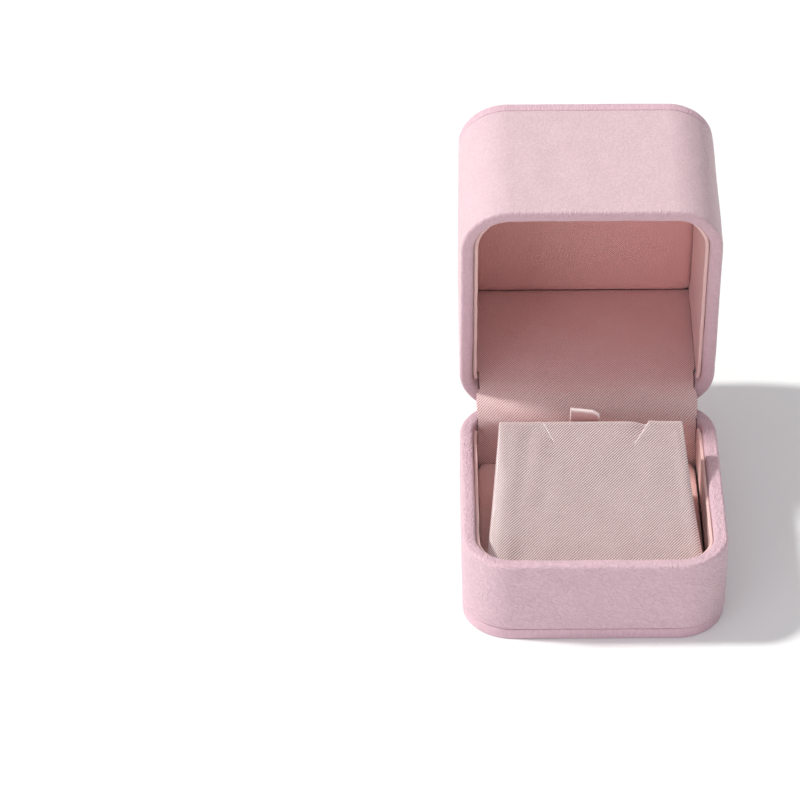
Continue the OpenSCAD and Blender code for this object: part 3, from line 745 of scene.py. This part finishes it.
def pad_mesh(poly, z_low, z_face, edge, crown, rings=26, lid=False, seed=0):
    """A closed pad: loops from its edge in to the middle, with a soft rounded edge."""
    n = len(poly)
    centre = np.array([0.0, (poly[:, 1].min() + poly[:, 1].max()) / 2])
    # dense, even outline
    closed = np.r_[poly, poly[:1]]
    s = np.r_[0, np.cumsum(np.linalg.norm(np.diff(closed, axis=0), axis=1))]
    k = 320
    t = np.linspace(0, s[-1], k, endpoint=False)
    edge_pts = np.stack([np.interp(t, s, closed[:, 0]), np.interp(t, s, closed[:, 1])], 1)
    half = np.abs(edge_pts - centre).max(0)
    loops, zs = [], []
    for z in (z_low, z_low + (z_face - edge - z_low) * 0.5):
        loops.append(edge_pts)
        zs.append(np.full(k, z))
    for a in np.linspace(0, 90, 7):
        e = edge * (1 - math.cos(math.radians(a)))
        loops.append(centre + (edge_pts - centre) * (1 - e / half))
        zs.append(np.full(k, z_face - edge + edge * math.sin(math.radians(a))))
    inner = centre + (edge_pts - centre) * (1 - edge / half)
    for q in 1 - np.linspace(0, 1, rings)[1:] ** 1.15:
        q = max(q, 0.02)
        p = centre + (inner - centre) * q
        loops.append(p)
        zs.append(np.full(k, z_face) + crown * (1 - q ** 2.2))
    v = np.concatenate([np.c_[p, z] for p, z in zip(loops, zs)])
    m = len(loops)
    f, uv = [], []
    for j in range(m - 1):
        for i in range(k):
            i2 = (i + 1) % k
            face = [j * k + i, j * k + i2, (j + 1) * k + i2, (j + 1) * k + i]
            f.append(face)
            uv += [tuple(v[x, :2]) for x in face]
    last = [(m - 1) * k + i for i in range(k)]
    f.append(last)
    uv += [tuple(v[x, :2]) for x in last]
    first = [i for i in range(k)][::-1]
    f.append(first)
    uv += [tuple(v[x, :2]) for x in first]
    return v, f, uv


def puffed(v, f, uv, name, z_pin, cap, voxel=0.85, scale=20.0, pressure=4.0, frames=20):
    """Blows the pad up a little with the cloth simulation. Returns the simulated mesh
    (a denser one, without UVs), with each point moved by at most `cap` mm."""
    me = bpy.data.meshes.new(name + "_sim")
    me.from_pydata((v * MM * scale).tolist(), [], f)
    o = bpy.data.objects.new(name + "_sim", me)
    bpy.context.scene.collection.objects.link(o)
    bpy.context.view_layer.objects.active = o
    o.select_set(True)
    r = o.modifiers.new("remesh", "REMESH")
    r.mode = "VOXEL"
    r.voxel_size = voxel * MM * scale
    applied(o)
    me = o.data
    rest = np.zeros(len(me.vertices) * 3)
    me.vertices.foreach_get("co", rest)
    rest = rest.reshape(-1, 3)
    pin = o.vertex_groups.new(name="pin")
    low = np.where(rest[:, 2] < z_pin * MM * scale)[0]
    pin.add([int(i) for i in low], 1.0, "REPLACE")
    c = o.modifiers.new("cloth", "CLOTH")
    st = c.settings
    st.quality = 5
    st.mass = 0.3
    st.tension_stiffness = 12
    st.compression_stiffness = 12
    st.shear_stiffness = 6
    st.bending_stiffness = 0.4
    st.use_pressure = True
    st.uniform_pressure_force = pressure
    st.effector_weights.gravity = 0
    st.vertex_group_mass = "pin"
    st.shrink_min = -0.015
    c.collision_settings.use_collision = False
    c.collision_settings.use_self_collision = False
    c.point_cache.frame_start = 1
    c.point_cache.frame_end = frames
    sc = bpy.context.scene
    for k in range(1, frames + 1):
        sc.frame_set(k)
    dg = bpy.context.evaluated_depsgraph_get()
    ev = o.evaluated_get(dg).to_mesh()
    now = np.zeros(len(ev.vertices) * 3)
    ev.vertices.foreach_get("co", now)
    now = now.reshape(-1, 3)
    o.evaluated_get(dg).to_mesh_clear()
    sc.frame_set(1)
    faces = [list(p.vertices) for p in me.polygons]
    bpy.data.objects.remove(o)
    move = (now - rest) / (MM * scale)
    far = np.linalg.norm(move, axis=1, keepdims=True)
    move *= np.minimum(1, cap / np.maximum(far, 1e-9))
    return rest / (MM * scale) + move, faces


def pad(name, inset, y_back, r_back, z_low, z_face, edge, crown, lid, cap, seed, limit):
    poly = outline(inset, y_back, r_back)
    v, f, uv = pad_mesh(poly, z_low, z_face, edge, crown)
    v, f = puffed(v, f, uv, name, z_low + 0.35, cap)
    uv = []
    for face in f:
        uv += [tuple(v[x, :2]) for x in face]
    d = inside_distance(v[:, :2], poly)
    top = smooth(v[:, 2], z_face - 0.6, z_face - 0.1)
    v[:, 2] += top * 0.05 * waves(v[:, :2], 12, seed) * smooth(d, 0.5, 4)
    # a shallow pull-in just inside the sewn edge
    v[:, 2] -= top * 0.10 * np.exp(-((d - 1.9) / 1.0) ** 2) * (0.6 + 0.4 * waves(v[:, :2], 7, seed + 2))
    v[:, 2] = np.minimum(v[:, 2], limit)
    o = build(name, v, f, uv, M_SATIN if lid else M_SATIN_FLOOR_PAINTED_LIGHT, lid=lid, sharp=0)
    sub = o.modifiers.new("subdivision", "SUBSURF")
    sub.levels = sub.render_levels = 1
    applied(o)
    co = np.zeros(len(o.data.vertices) * 3)
    o.data.polygons.foreach_set("use_smooth", [True] * len(o.data.polygons))
    return o


floor_pad = pad("base_floor_pad", 4.25, D / 2 - COVER_S + 0.22, 0.8, PLATE_T + 0.02, FLOOR_Z - 0.03, 0.35, 0.0, False, 0.25, 71, FLOOR_Z)
lid_pad = pad("lid_top_pad", 2.98, D / 2 - COVER_S + 0.25, 1.2, PLATE_T + 0.02, PAD_Z - 0.05, 0.3, 0.12, True, 0.5, 81, PAD_Z + 0.3)


# ---- the satin strip over the hinge -----------------------------------------

def lid_yz(s, h):
    y, z = 2 - s, h
    return np.array([HY + y * math.cos(OPEN) + z * math.sin(OPEN), HZ - y * math.sin(OPEN) + z * math.cos(OPEN)])


def strip():
    back = D / 2 - COVER_S
    a = np.array([back, 21.0])
    d = lid_yz(COVER_S - 0.65, 3.4)
    b = np.array([back + 0.3, 25.6])
    c = d - 3.6 * np.array([math.cos(math.radians(7.5)), math.sin(math.radians(7.5))])
    t = np.linspace(0, 1, 60)[:, None]
    bend = (1 - t) ** 3 * a + 3 * t * (1 - t) ** 2 * b + 3 * t ** 2 * (1 - t) * c + t ** 3 * d
    hs = np.linspace(3.4, 37.2, 92)
    lid = np.array([lid_yz(COVER_S - 0.7 + 0.7 * min(1, h / 36.4), h) for h in hs])
    path = chain(line((back, PLATE_T + 0.05), a, 0.35), bend, lid)
    s = np.r_[0, np.cumsum(np.linalg.norm(np.diff(path, axis=0), axis=1))]
    total = s[-1]
    n = int(total / 0.34)
    t = np.linspace(0, total, n)
    path = np.stack([np.interp(t, s, path[:, 0]), np.interp(t, s, path[:, 1])], 1)
    tan = np.gradient(path, axis=0)
    tan /= np.linalg.norm(tan, axis=1, keepdims=True)
    nrm = np.stack([-tan[:, 1], tan[:, 0]], 1)
    # depth below each rim, and how far the strip may reach to each side there
    q = path - [HY, HZ]
    ly = q[:, 0] * math.cos(OPEN) - q[:, 1] * math.sin(OPEN)
    lz = q[:, 0] * math.sin(OPEN) + q[:, 1] * math.cos(OPEN)
    in_lid = lz > 0.5
    y_local = np.where(in_lid, HY + ly, path[:, 0])
    depth = np.where(in_lid, lz, BASE_H - path[:, 1])
    inner = R - 3.42
    room = CX + np.sqrt(np.maximum(inner ** 2 - np.maximum(y_local - CY, 0) ** 2, 0)) - 0.12
    near = (depth > -0.5) & (depth < 6.6)
    half = np.where(near, np.minimum(room, COVER_W / 2), COVER_W / 2)
    ker = np.exp(-np.linspace(-2, 2, 21) ** 2)
    half = np.minimum(half, np.convolve(np.pad(half, 10, mode="edge"), ker / ker.sum(), "valid"))
    return path, nrm, t, half, total


def strip_mesh():
    path, nrm, t, half, total = strip()
    u = np.sin(np.linspace(-math.pi / 2, math.pi / 2, 150))
    u = 0.35 * u + 0.65 * np.linspace(-1, 1, 150)
    X = half[:, None] * u[None, :]
    T = np.repeat(t[:, None], len(u), 1)
    P = np.stack([X, np.repeat(path[:, :1], len(u), 1), np.repeat(path[:, 1:], len(u), 1)], 2)
    q = np.stack([X.ravel(), T.ravel()], 1)
    # slack, a few soft creases near the hinge, and lifted edges
    bend_at = 22.0
    mid = np.exp(-((T - bend_at) / 7.0) ** 2)
    w = (0.05 * waves(q, 15, 91)).reshape(T.shape)
    w += 0.07 * mid * waves(q * [0.55, 1.3], 4.2, 92).reshape(T.shape)
    for x0, t0, ang, size, amp in ((24.5, 17.5, 60, 1.1, 0.16), (26.2, 20.5, 35, 0.9, 0.18), (22.0, 14.0, 75, 1.2, 0.10),
                                   (-26.4, 16.5, 120, 0.9, 0.14), (-24.6, 19.5, 140, 1.1, 0.12), (25.6, 12.2, 100, 0.8, 0.10)):
        ca, sa = math.cos(math.radians(ang)), math.sin(math.radians(ang))
        du = (X - x0) * ca + (T - t0) * sa
        dv = -(X - x0) * sa + (T - t0) * ca
        w += amp * np.exp(-(du / 4.0) ** 2) * (np.exp(-(dv / (size * 0.5)) ** 2) - 0.6 * np.exp(-((dv - size) / (size * 0.8)) ** 2))
    end = smooth(T, 0, 4) * smooth(-T, -total, -total + 3)
    w *= end
    edge = half[:, None] - np.abs(X)
    w += 0.05 * np.exp(-(edge / 0.5) ** 2)
    top = COVER_T + np.clip(w, -0.05, 0.45)
    hem = np.sqrt(np.clip(1 - (1 - np.clip(edge / 0.16, 0, 1)) ** 2, 0, 1))
    thick = 0.10 + 0.18 * hem
    N3 = np.stack([np.zeros_like(X), np.repeat(nrm[:, :1], len(u), 1), np.repeat(nrm[:, 1:], len(u), 1)], 2)
    # frayed, very slightly wandering side edges
    wander = 0.05 * waves(np.stack([t], 1), 5.0, 95) + 0.03 * waves(np.stack([t], 1), 0.9, 96)
    P[:, :, 0] += wander[:, None] * np.abs(u)[None, :] ** 8 * np.sign(u)[None, :] * 0.6
    front = P + N3 * top[:, :, None]
    back = P + N3 * (top - thick)[:, :, None]
    a = grid(front, X, T)
    b = grid(back, X, T, flip=True)
    n, m = T.shape
    off = n * m
    f, uv = [], []
    uvx, uvt = X, T

    def stitch(idx):
        for p, q2 in zip(idx, idx[1:]):
            f.append([p, p + off, q2 + off, q2])
            for k in (p, p, q2, q2):
                uv.append((uvx.ravel()[k], uvt.ravel()[k]))

    stitch([j for j in range(m)][::-1])
    stitch([(n - 1) * m + j for j in range(m)])
    stitch([i * m for i in range(n)])
    stitch([i * m + m - 1 for i in range(n)][::-1])
    v, ff, uu = joined(a, b)
    return v, ff + f, uu + uv, total


v, f, uv, strip_len = strip_mesh()
cover = build("hinge_cover_strip", v, f, uv, M_STRIP, sharp=0)
bm = bmesh.new()
bm.from_mesh(cover.data)
bmesh.ops.recalc_face_normals(bm, faces=bm.faces)
bm.to_mesh(cover.data)
bm.free()
cover.data.polygons.foreach_set("use_smooth", [True] * len(cover.data.polygons))


# ---- insert -----------------------------------------------------------------

def insert_half(y, right=False):
    """Half width of the insert's plan at y, to the left or to the right."""
    t = np.clip((RY - y) / (RY - FY), 0, 1)
    w = 22.95 + 4.05 * t + (1.0 if right else 0.8) * t ** (3 if right else 4)
    inset = 4.30
    r = R - inset
    c = np.where(y < -CY, CX + np.sqrt(np.maximum(r * r - (y + CY) ** 2, 0)), W / 2 - inset)
    k = 0.25
    return -k * np.log(np.exp(-w / k) + np.exp(-c / k))


def roll(e, r, drop=None):
    """How far a rounded edge, r wide, has dropped at distance e from it."""
    x = np.clip(1 - e / r, 0, 1)
    return (r if drop is None else drop) * (1 - np.sqrt(1 - x * x))


def insert_mesh():
    # rows from the back edge to the front edge, closer together at both
    back_r, front_r = 0.3, 1.1
    ys = np.unique(np.concatenate([
        BY - back_r * (1 - np.cos(np.linspace(0, math.pi / 2, 6))),
        np.linspace(BY - back_r, RY - 2.4, 18),
        np.linspace(RY - 2.4, FY + front_r, 92),
        FY + front_r * (1 - np.sin(np.linspace(0, math.pi / 2, 8))),
        [4.8, 4.19]]))[::-1]
    k = 0.13
    z_mid = RIDGE_Z + 0.16 - np.logaddexp(0, (RY - ys) / k) * k * math.tan(SLOPE) - np.logaddexp(0, (ys - RY) / k) * k * 0.8
    z_mid = z_mid - roll(np.abs(BY - ys), back_r) - roll(np.abs(ys - FY), front_r)
    hw, hr = insert_half(ys), insert_half(ys, True)
    # the satin rolls softly over the left side and more tightly over the right
    far = smooth(RY - ys, 0.0, 16.0)
    r_left, d_left = 0.45 + 2.7 * far, 0.45 + 0.55 * far
    r_right, d_right = 0.4 + 0.9 * far, 0.4 + 0.6 * far
    # where the two chain slots run, at each row
    yl, yr = 4.8, 4.19
    xl = np.where(ys > yl, -9.6 - 2.8 * np.clip((ys - yl) / (RY - yl), 0, 1), -9.6 - 0.04 * (yl - ys))
    xr = np.where(ys > yr, 10.7 + 3.8 * np.clip((ys - yr) / (RY - yr), 0, 1), 10.7 + 0.04 * (yr - ys))
    open_l = smooth(ys, yl - 0.2, yl + 1.6)
    open_r = smooth(ys, yr - 0.3, yr + 1.2)
    cos_e = 1 - np.cos(np.linspace(0, math.pi / 2, 12))

    def across(lo, hi, n, edge_lo, edge_hi):
        """Columns from lo to hi, closer together at the case's own edges."""
        t = np.linspace(0, 1, n)
        x = lo[:, None] + (hi - lo)[:, None] * t[None, :]
        if edge_lo:
            q = r_left
            x = np.concatenate([lo[:, None] + q[:, None] * cos_e[None, :], (lo + q)[:, None] + (hi - lo - q)[:, None] * t[None, 1:]], 1)
        if edge_hi:
            q = r_right
            x = np.concatenate([lo[:, None] + (hi - lo - q)[:, None] * t[None, :], (hi - q)[:, None] + q[:, None] * (1 - cos_e[::-1])[None, 1:]], 1)
        return x

    gap = 0.045
    patches = [
        (across(-hw, xl - gap * open_l, 30, True, False), "l"),
        (across(xl + gap * open_l, xr - gap * open_r, 56, False, False), "m"),
        (across(xr + gap * open_r, hr, 28, False, True), "r"),
    ]
    meshes, marks, spots = [], [], []
    for x, which in patches:
        y = np.repeat(ys[:, None], x.shape[1], 1)
        z = np.repeat(z_mid[:, None], x.shape[1], 1)
        e = np.where(x < 0, hw[:, None] + x, hr[:, None] - x)
        z = z - np.where(x < 0, roll(e, r_left[:, None], d_left[:, None]), roll(e, r_right[:, None], d_right[:, None]))
        # soft hand of the satin over its foam
        q = np.stack([x.ravel(), y.ravel()], 1)
        on = (smooth(e, 0.2, 2.0) * smooth(y, FY + 0.3, FY + 3) * smooth(-y, -(RY - 0.4), -(RY - 3))).ravel()
        d = 0.07 * waves(q, 14, 101) + 0.035 * waves(q, 6, 102)
        xx, yy = q[:, 0], q[:, 1]
        left = hw.repeat(x.shape[1]) + xx
        right = hr.repeat(x.shape[1]) - xx
        d = d + 0.16 * np.exp(-((left - 4.6) / 1.8) ** 2) - 0.20 * np.exp(-((left - 8.0) / 2.4) ** 2)
        d = d + 0.12 * np.exp(-((right - 1.6) / 1.1) ** 2) - 0.06 * np.exp(-((right - 4.0) / 2.0) ** 2)
        # a slack fold that runs from the left slot down to the lower left corner
        fx = -13.0 - 0.16 * (6.0 - yy) - 0.0045 * np.maximum(6.0 - yy, 0) ** 2
        d = d + 0.16 * np.exp(-((xx - fx) / 1.9) ** 2) * smooth(-yy, -9, -2) - 0.10 * np.exp(-((xx - fx - 4.2) / 2.4) ** 2)
        d = d + 0.10 * np.exp(-(((xx - 15.5) * 0.8 + (yy + 6) * 0.25) / 2.2) ** 2) - 0.10 * np.exp(-(((xx - 1) / 9) ** 2 + ((yy + 9) / 9) ** 2))
        z = z + (d * on).reshape(z.shape)
        # the tongue between the slots hangs a little lower than the flanks
        up_l = np.exp(-((x - xl[:, None]) / 2.0) ** 2) * open_l[:, None]
        up_r = np.exp(-((x - xr[:, None]) / 2.6) ** 2) * open_r[:, None]
        if which == "m":
            z = z - 0.06 * up_l - (0.30 + 0.85 * smooth(y, RY - 3.2, RY - 0.4)) * up_r
        elif which == "l":
            z = z + 0.08 * up_l
        else:
            z = z + 0.22 * up_r
        # painted highlight: a paler colour marked along the slots' edges, the ridge and the two side rolls
        crest = 0.42 * np.exp(-((RY - y) / 0.35) ** 2)
        if which == "l":
            painted_side_highlight = 0.26 * np.exp(-((e - 0.7 - 1.0 * far[:, None]) / (0.5 + 0.7 * far[:, None])) ** 2)
            crest = np.maximum(np.maximum(crest, painted_side_highlight), np.exp(-((x - xl[:, None]) / 0.28) ** 2) * open_l[:, None])
        elif which == "r":
            painted_side_highlight = 0.38 * np.exp(-((e - 0.1) / 0.4) ** 2)
            crest = np.maximum(np.maximum(crest, painted_side_highlight), np.exp(-((x - xr[:, None]) / 0.30) ** 2) * open_r[:, None])
        marks.append(crest.ravel())
        spots.append(np.stack([x, y, z], 2).reshape(-1, 3))
        sl = (RY - y) / math.cos(SLOPE)
        p = np.stack([x, y, z], 2)
        meshes.append(grid(p, x, -sl, flip=True))
        # skirts: down the back, down the front and down the outer side
        depth = np.linspace(0, 1, 22)[1:] ** 1.2

        def skirt(edge, out, name):
            base = edge[-1] if edge.ndim == 3 else edge
            lo = FLOOR_Z + 0.04
            rows = [base]
            for t in depth:
                r = base.copy()
                r[:, 2] = base[:, 2] + (lo - base[:, 2]) * t
                wob = 0.10 * waves(np.stack([np.linspace(0, 1, len(base)) * 40 + out[0] * 9, r[:, 2]], 1), 9, 111) - 0.08
                bulge = math.sin(math.pi * min(1, t * 1.02))
                r[:, 0] += out[0] * wob * bulge
                r[:, 1] += out[1] * wob * bulge
                rows.append(r)
            g = np.stack(rows)
            s = np.r_[0, np.cumsum(np.linalg.norm(np.diff(base, axis=0), axis=1))]
            uu = np.repeat(s[None, :], len(rows), 0) if out[1] == 0 else g[:, :, 0]
            vv = g[:, :, 2] - 60
            return g, uu, vv

        def lower(g):
            """Closes the slot on the way down the back."""
            t = smooth(-g[:, :, 2], -(RIDGE_Z - 1), -(RIDGE_Z - 6))
            if which in "lm":
                col = -1 if which == "l" else 0
                g[:, col, 0] += (xl[0] - g[:, col, 0]) * t[:, col]
            if which in "mr":
                col = 0 if which == "r" else -1
                g[:, col, 0] += (xr[0] - g[:, col, 0]) * t[:, col]
            return g

        g, uu, vv = skirt(p[0], (0, 1), "back")
        g = lower(g)
        meshes.append(grid(g, uu, vv, flip=True))
        g, uu, vv = skirt(p[-1], (0, -1), "front")
        meshes.append(grid(g, uu, vv))
        if which == "l":
            g, uu, vv = skirt(p[:, 0], (-1, 0), "left")
            meshes.append(grid(g, uu, vv))
        if which == "r":
            g, uu, vv = skirt(p[:, -1], (1, 0), "right")
            meshes.append(grid(g, uu, vv, flip=True))
    return joined(*meshes), np.concatenate(spots), np.concatenate(marks)


def marked(o, spots, values):
    """Keeps a value on each vertex, from the nearest of the given spots."""
    tree = KDTree(len(spots))
    for k, q in enumerate(spots):
        tree.insert(Vector(q * MM), k)
    tree.balance()
    out = []
    for vert in o.data.vertices:
        _, k, far = tree.find(vert.co)
        out.append(float(values[k]) if far < 0.0004 else 0.0)
    a = o.data.attributes.new("painted_fold_highlight", "FLOAT", "POINT")
    a.data.foreach_set("value", out)


(v, f, uv), spots, marks = insert_mesh()
insert = build("insert_satin_cover", v, f, uv, M_BLUSH, merge=True, sharp=0)
bm = bmesh.new()
bm.from_mesh(insert.data)
bmesh.ops.recalc_face_normals(bm, faces=bm.faces)
bm.to_mesh(insert.data)
bm.free()
centre = Vector((0, -0.009, 0.018))
votes = sum(1 if (p.center - centre).dot(p.normal) > 0 else -1 for p in insert.data.polygons)
if votes < 0:
    insert.data.flip_normals()
insert.data.polygons.foreach_set("use_smooth", [True] * len(insert.data.polygons))
sol = insert.modifiers.new("thickness", "SOLIDIFY")
sol.thickness = 0.26 * MM
sol.offset = -1
sol.use_even_offset = False
applied(insert)
insert.data.polygons.foreach_set("use_smooth", [True] * len(insert.data.polygons))
# painted highlight: keeps the insert's highlight marks on its vertices for the satin's paler colour
marked(insert, spots[marks > 0.02], marks[marks > 0.02])


def tab_mesh():
    """A short ribbon, folded double, behind the ridge."""
    x0, x1, yb, zb = -5.12, 2.32, BY + 0.06, 20.6
    half = 0.29
    nx = 40
    xs = np.linspace(x0, x1, nx)
    rows = []
    for x in xs:
        t = (x - x0) / (x1 - x0)
        top = 36.95 - 0.75 * t - 0.95 * max(0.0, (t - 0.75) / 0.25) ** 1.5
        r = half * (1 if 0.02 < t < 0.98 else 0.75)
        front = [(yb + half - r, z) for z in np.linspace(zb, top - r, 34)]
        cap = [(yb + half - r * math.cos(a), top - r + r * math.sin(a)) for a in np.linspace(0, math.pi, 9)[1:-1]]
        rear = [(yb + half + r, z) for z in np.linspace(top - r, zb, 34)]
        sec = np.array(front + cap + rear)
        # the loop opens towards its fold, and its woven edges stand a little proud
        k = smooth(sec[:, 1], 33.5, top)
        bead = math.exp(-((t - 0.03) / 0.03) ** 2) + math.exp(-((t - 0.97) / 0.03) ** 2)
        mid = yb + half
        sec[:, 0] = mid + (sec[:, 0] - mid) * (1 + 0.75 * k) + np.sign(sec[:, 0] - mid) * 0.10 * bead
        sec[:, 0] += 0.22 + k * (0.30 * (1 - t) + 0.08 * math.sin(3.1 * t + 0.4))
        rows.append(np.c_[np.full(len(sec), x) + 0.06 * np.sin(sec[:, 1] * 0.9), sec])
    p = np.stack(rows)
    nx, m = p.shape[:2]
    f, uv = [], []
    s = np.r_[0, np.cumsum(np.linalg.norm(np.diff(p[0], axis=0), axis=1)), 0]
    s[-1] = s[-2] + 2 * half
    for i in range(nx - 1):
        for j in range(m):
            j2 = (j + 1) % m
            f.append([i * m + j, (i + 1) * m + j, (i + 1) * m + j2, i * m + j2])
            uv += [(xs[i], s[j]), (xs[i + 1], s[j]), (xs[i + 1], s[j + 1]), (xs[i], s[j + 1])]
    for i in (0, nx - 1):
        # close each side with a strip of quads between the front and the back layer
        half_m = m // 2
        for j in range(half_m):
            a, b, c, d = i * m + j, i * m + j + 1, i * m + m - 2 - j, i * m + m - 1 - j
            if len({a, b, c, d}) < 4:
                continue
            face = [a, b, c, d]
            f.append(face if i == 0 else face[::-1])
            uv += [(xs[i], s[j])] * 4
    return p.reshape(-1, 3), f, uv


v, f, uv = tab_mesh()
tab = build("insert_ribbon_tab", v, f, uv, M_TAB, sharp=50)
bm = bmesh.new()
bm.from_mesh(tab.data)
bmesh.ops.recalc_face_normals(bm, faces=bm.faces)
bm.to_mesh(tab.data)
bm.free()
# painted highlight: a paler colour along the tab's top fold and its two side edges
hem = []
for q in tab.data.vertices:
    x, z = q.co.x / MM, q.co.z / MM
    t = (x + 5.12) / 7.44
    crest = 36.95 - 0.75 * t - 0.95 * max(0.0, (t - 0.75) / 0.25) ** 1.5
    hem.append(min(1.0, math.exp(-(max(0.0, crest - z - 0.15) / 0.5) ** 2) + 0.8 * math.exp(-((t - 0.015) / 0.022) ** 2) + 0.8 * math.exp(-((t - 0.985) / 0.022) ** 2)))
tab.data.attributes.new("painted_fold_highlight", "FLOAT", "POINT").data.foreach_set("value", hem)


# ---- bodies and stand-ins -----------------------------------------------------

for o, body, nodes, slot in (
    (base_wall, "base", ["base_leather"], "pink_leather"),
    (base_cover, "base", ["base_plate_leather"], "pink_leather"),
    (base_band, "base", ["base_lining_satin"], "pink_satin"),
    (floor_pad, "base", ["base_floor_satin", "base_floor_foam"], "pink_satin"),
    (lid_wall, "lid", ["lid_leather"], "pink_leather"),
    (lid_cover, "lid", ["lid_plate_leather"], "pink_leather"),
    (lid_band, "lid", ["lid_lining_satin"], "pink_satin"),
    (lid_pad, "lid", ["lid_pad_satin", "lid_pad_foam"], "pink_satin"),
    (insert, "insert", ["insert_satin", "insert_foam"], "blush_satin"),
    (tab, "insert", ["insert_ribbon"], "blush_satin"),
):
    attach(o, body)
    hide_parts(*nodes)

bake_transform(cover)
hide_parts("hinge_cover_satin")


# ---- floor, light and camera --------------------------------------------------

def plane(name, x0, x1, y0, y1, z, material):
    me = bpy.data.meshes.new(name)
    me.from_pydata([(x0, y0, z), (x1, y0, z), (x1, y1, z), (x0, y1, z)], [], [[0, 1, 2, 3]])
    o = bpy.data.objects.new(name, me)
    bpy.context.scene.collection.objects.link(o)
    me.materials.append(material)
    o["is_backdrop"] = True
    return o


n = Nodes("pale_floor")
co = n.coords("Object")
n.set(Base_Color=n.ramp(n.noise(co, 60, 3.0), (0.3, (0.92, 0.95, 0.93)), (0.7, (0.93, 0.96, 0.94))),
      Roughness=0.62, Specular_IOR_Level=0.25, Normal=n.bump(n.noise(co, 1.2, 3.0), 0.00002, 0.4))
plane("floor", -4, 4, -4, 4, 0, n.m)

sun = bpy.data.lights.new("key", "SUN")
sun.energy = 2.45
sun.angle = math.radians(6)
sun.color = (1.0, 0.995, 0.975)
key = bpy.data.objects.new("key", sun)
bpy.context.scene.collection.objects.link(key)
key.rotation_mode = "QUATERNION"
key.rotation_quaternion = Vector((0.95, -0.11, -1.0)).to_track_quat("-Z", "Y")

world = bpy.data.worlds.new("studio")
bpy.context.scene.world = world
world.use_nodes = True
bg = world.node_tree.nodes["Background"]
bg.inputs["Strength"].default_value = 1.0
# paler and brighter overhead than at the horizon
wt = world.node_tree
where = wt.nodes.new("ShaderNodeTexCoord")
part = wt.nodes.new("ShaderNodeSeparateXYZ")
level = wt.nodes.new("ShaderNodeValToRGB")
level.color_ramp.elements[0].color = (0.18, 0.158, 0.187, 1)
level.color_ramp.elements[1].color = (0.75, 0.735, 0.755, 1)
wt.links.new(where.outputs["Generated"], part.inputs[0])
wt.links.new(part.outputs[2], level.inputs[0])
wt.links.new(level.outputs[0], bg.inputs["Color"])

soft = bpy.data.lights.new("window", "AREA")
soft.shape = "RECTANGLE"
soft.size, soft.size_y = 0.7, 0.5
soft.energy = 2.7
soft.color = (1.0, 0.90, 1.01)
box = bpy.data.objects.new("window", soft)
bpy.context.scene.collection.objects.link(box)
box.location = (-0.80, -0.95, 0.32)
box.rotation_mode = "QUATERNION"
box.rotation_quaternion = (Vector((0, 0.02, 0.05)) - box.location).to_track_quat("-Z", "Y")

cam = bpy.data.cameras.new("camera")
cam.lens = 168.675
cam.sensor_width = 36.0
cam.clip_start, cam.clip_end = 0.02, 20
camera = bpy.data.objects.new("camera", cam)
bpy.context.scene.collection.objects.link(camera)
right = Vector((0.99997953, -0.00165285, -0.0061806))
up = Vector((0.00593343, 0.60092056, 0.79928673))
back = -Vector((-0.00239295, 0.79930705, -0.60091807))
rot = Matrix((right, up, back)).transposed().to_4x4()
camera.matrix_world = Matrix.Translation((-0.045468, -0.736913, 0.602869)) @ rot
bpy.context.scene.camera = camera

view = bpy.context.scene.view_settings
view.view_transform = "Standard"
view.look = "None"
view.exposure = 0.0
view.gamma = 1.0

bpy.context.view_layer.update()
box = [list(c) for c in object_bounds()]
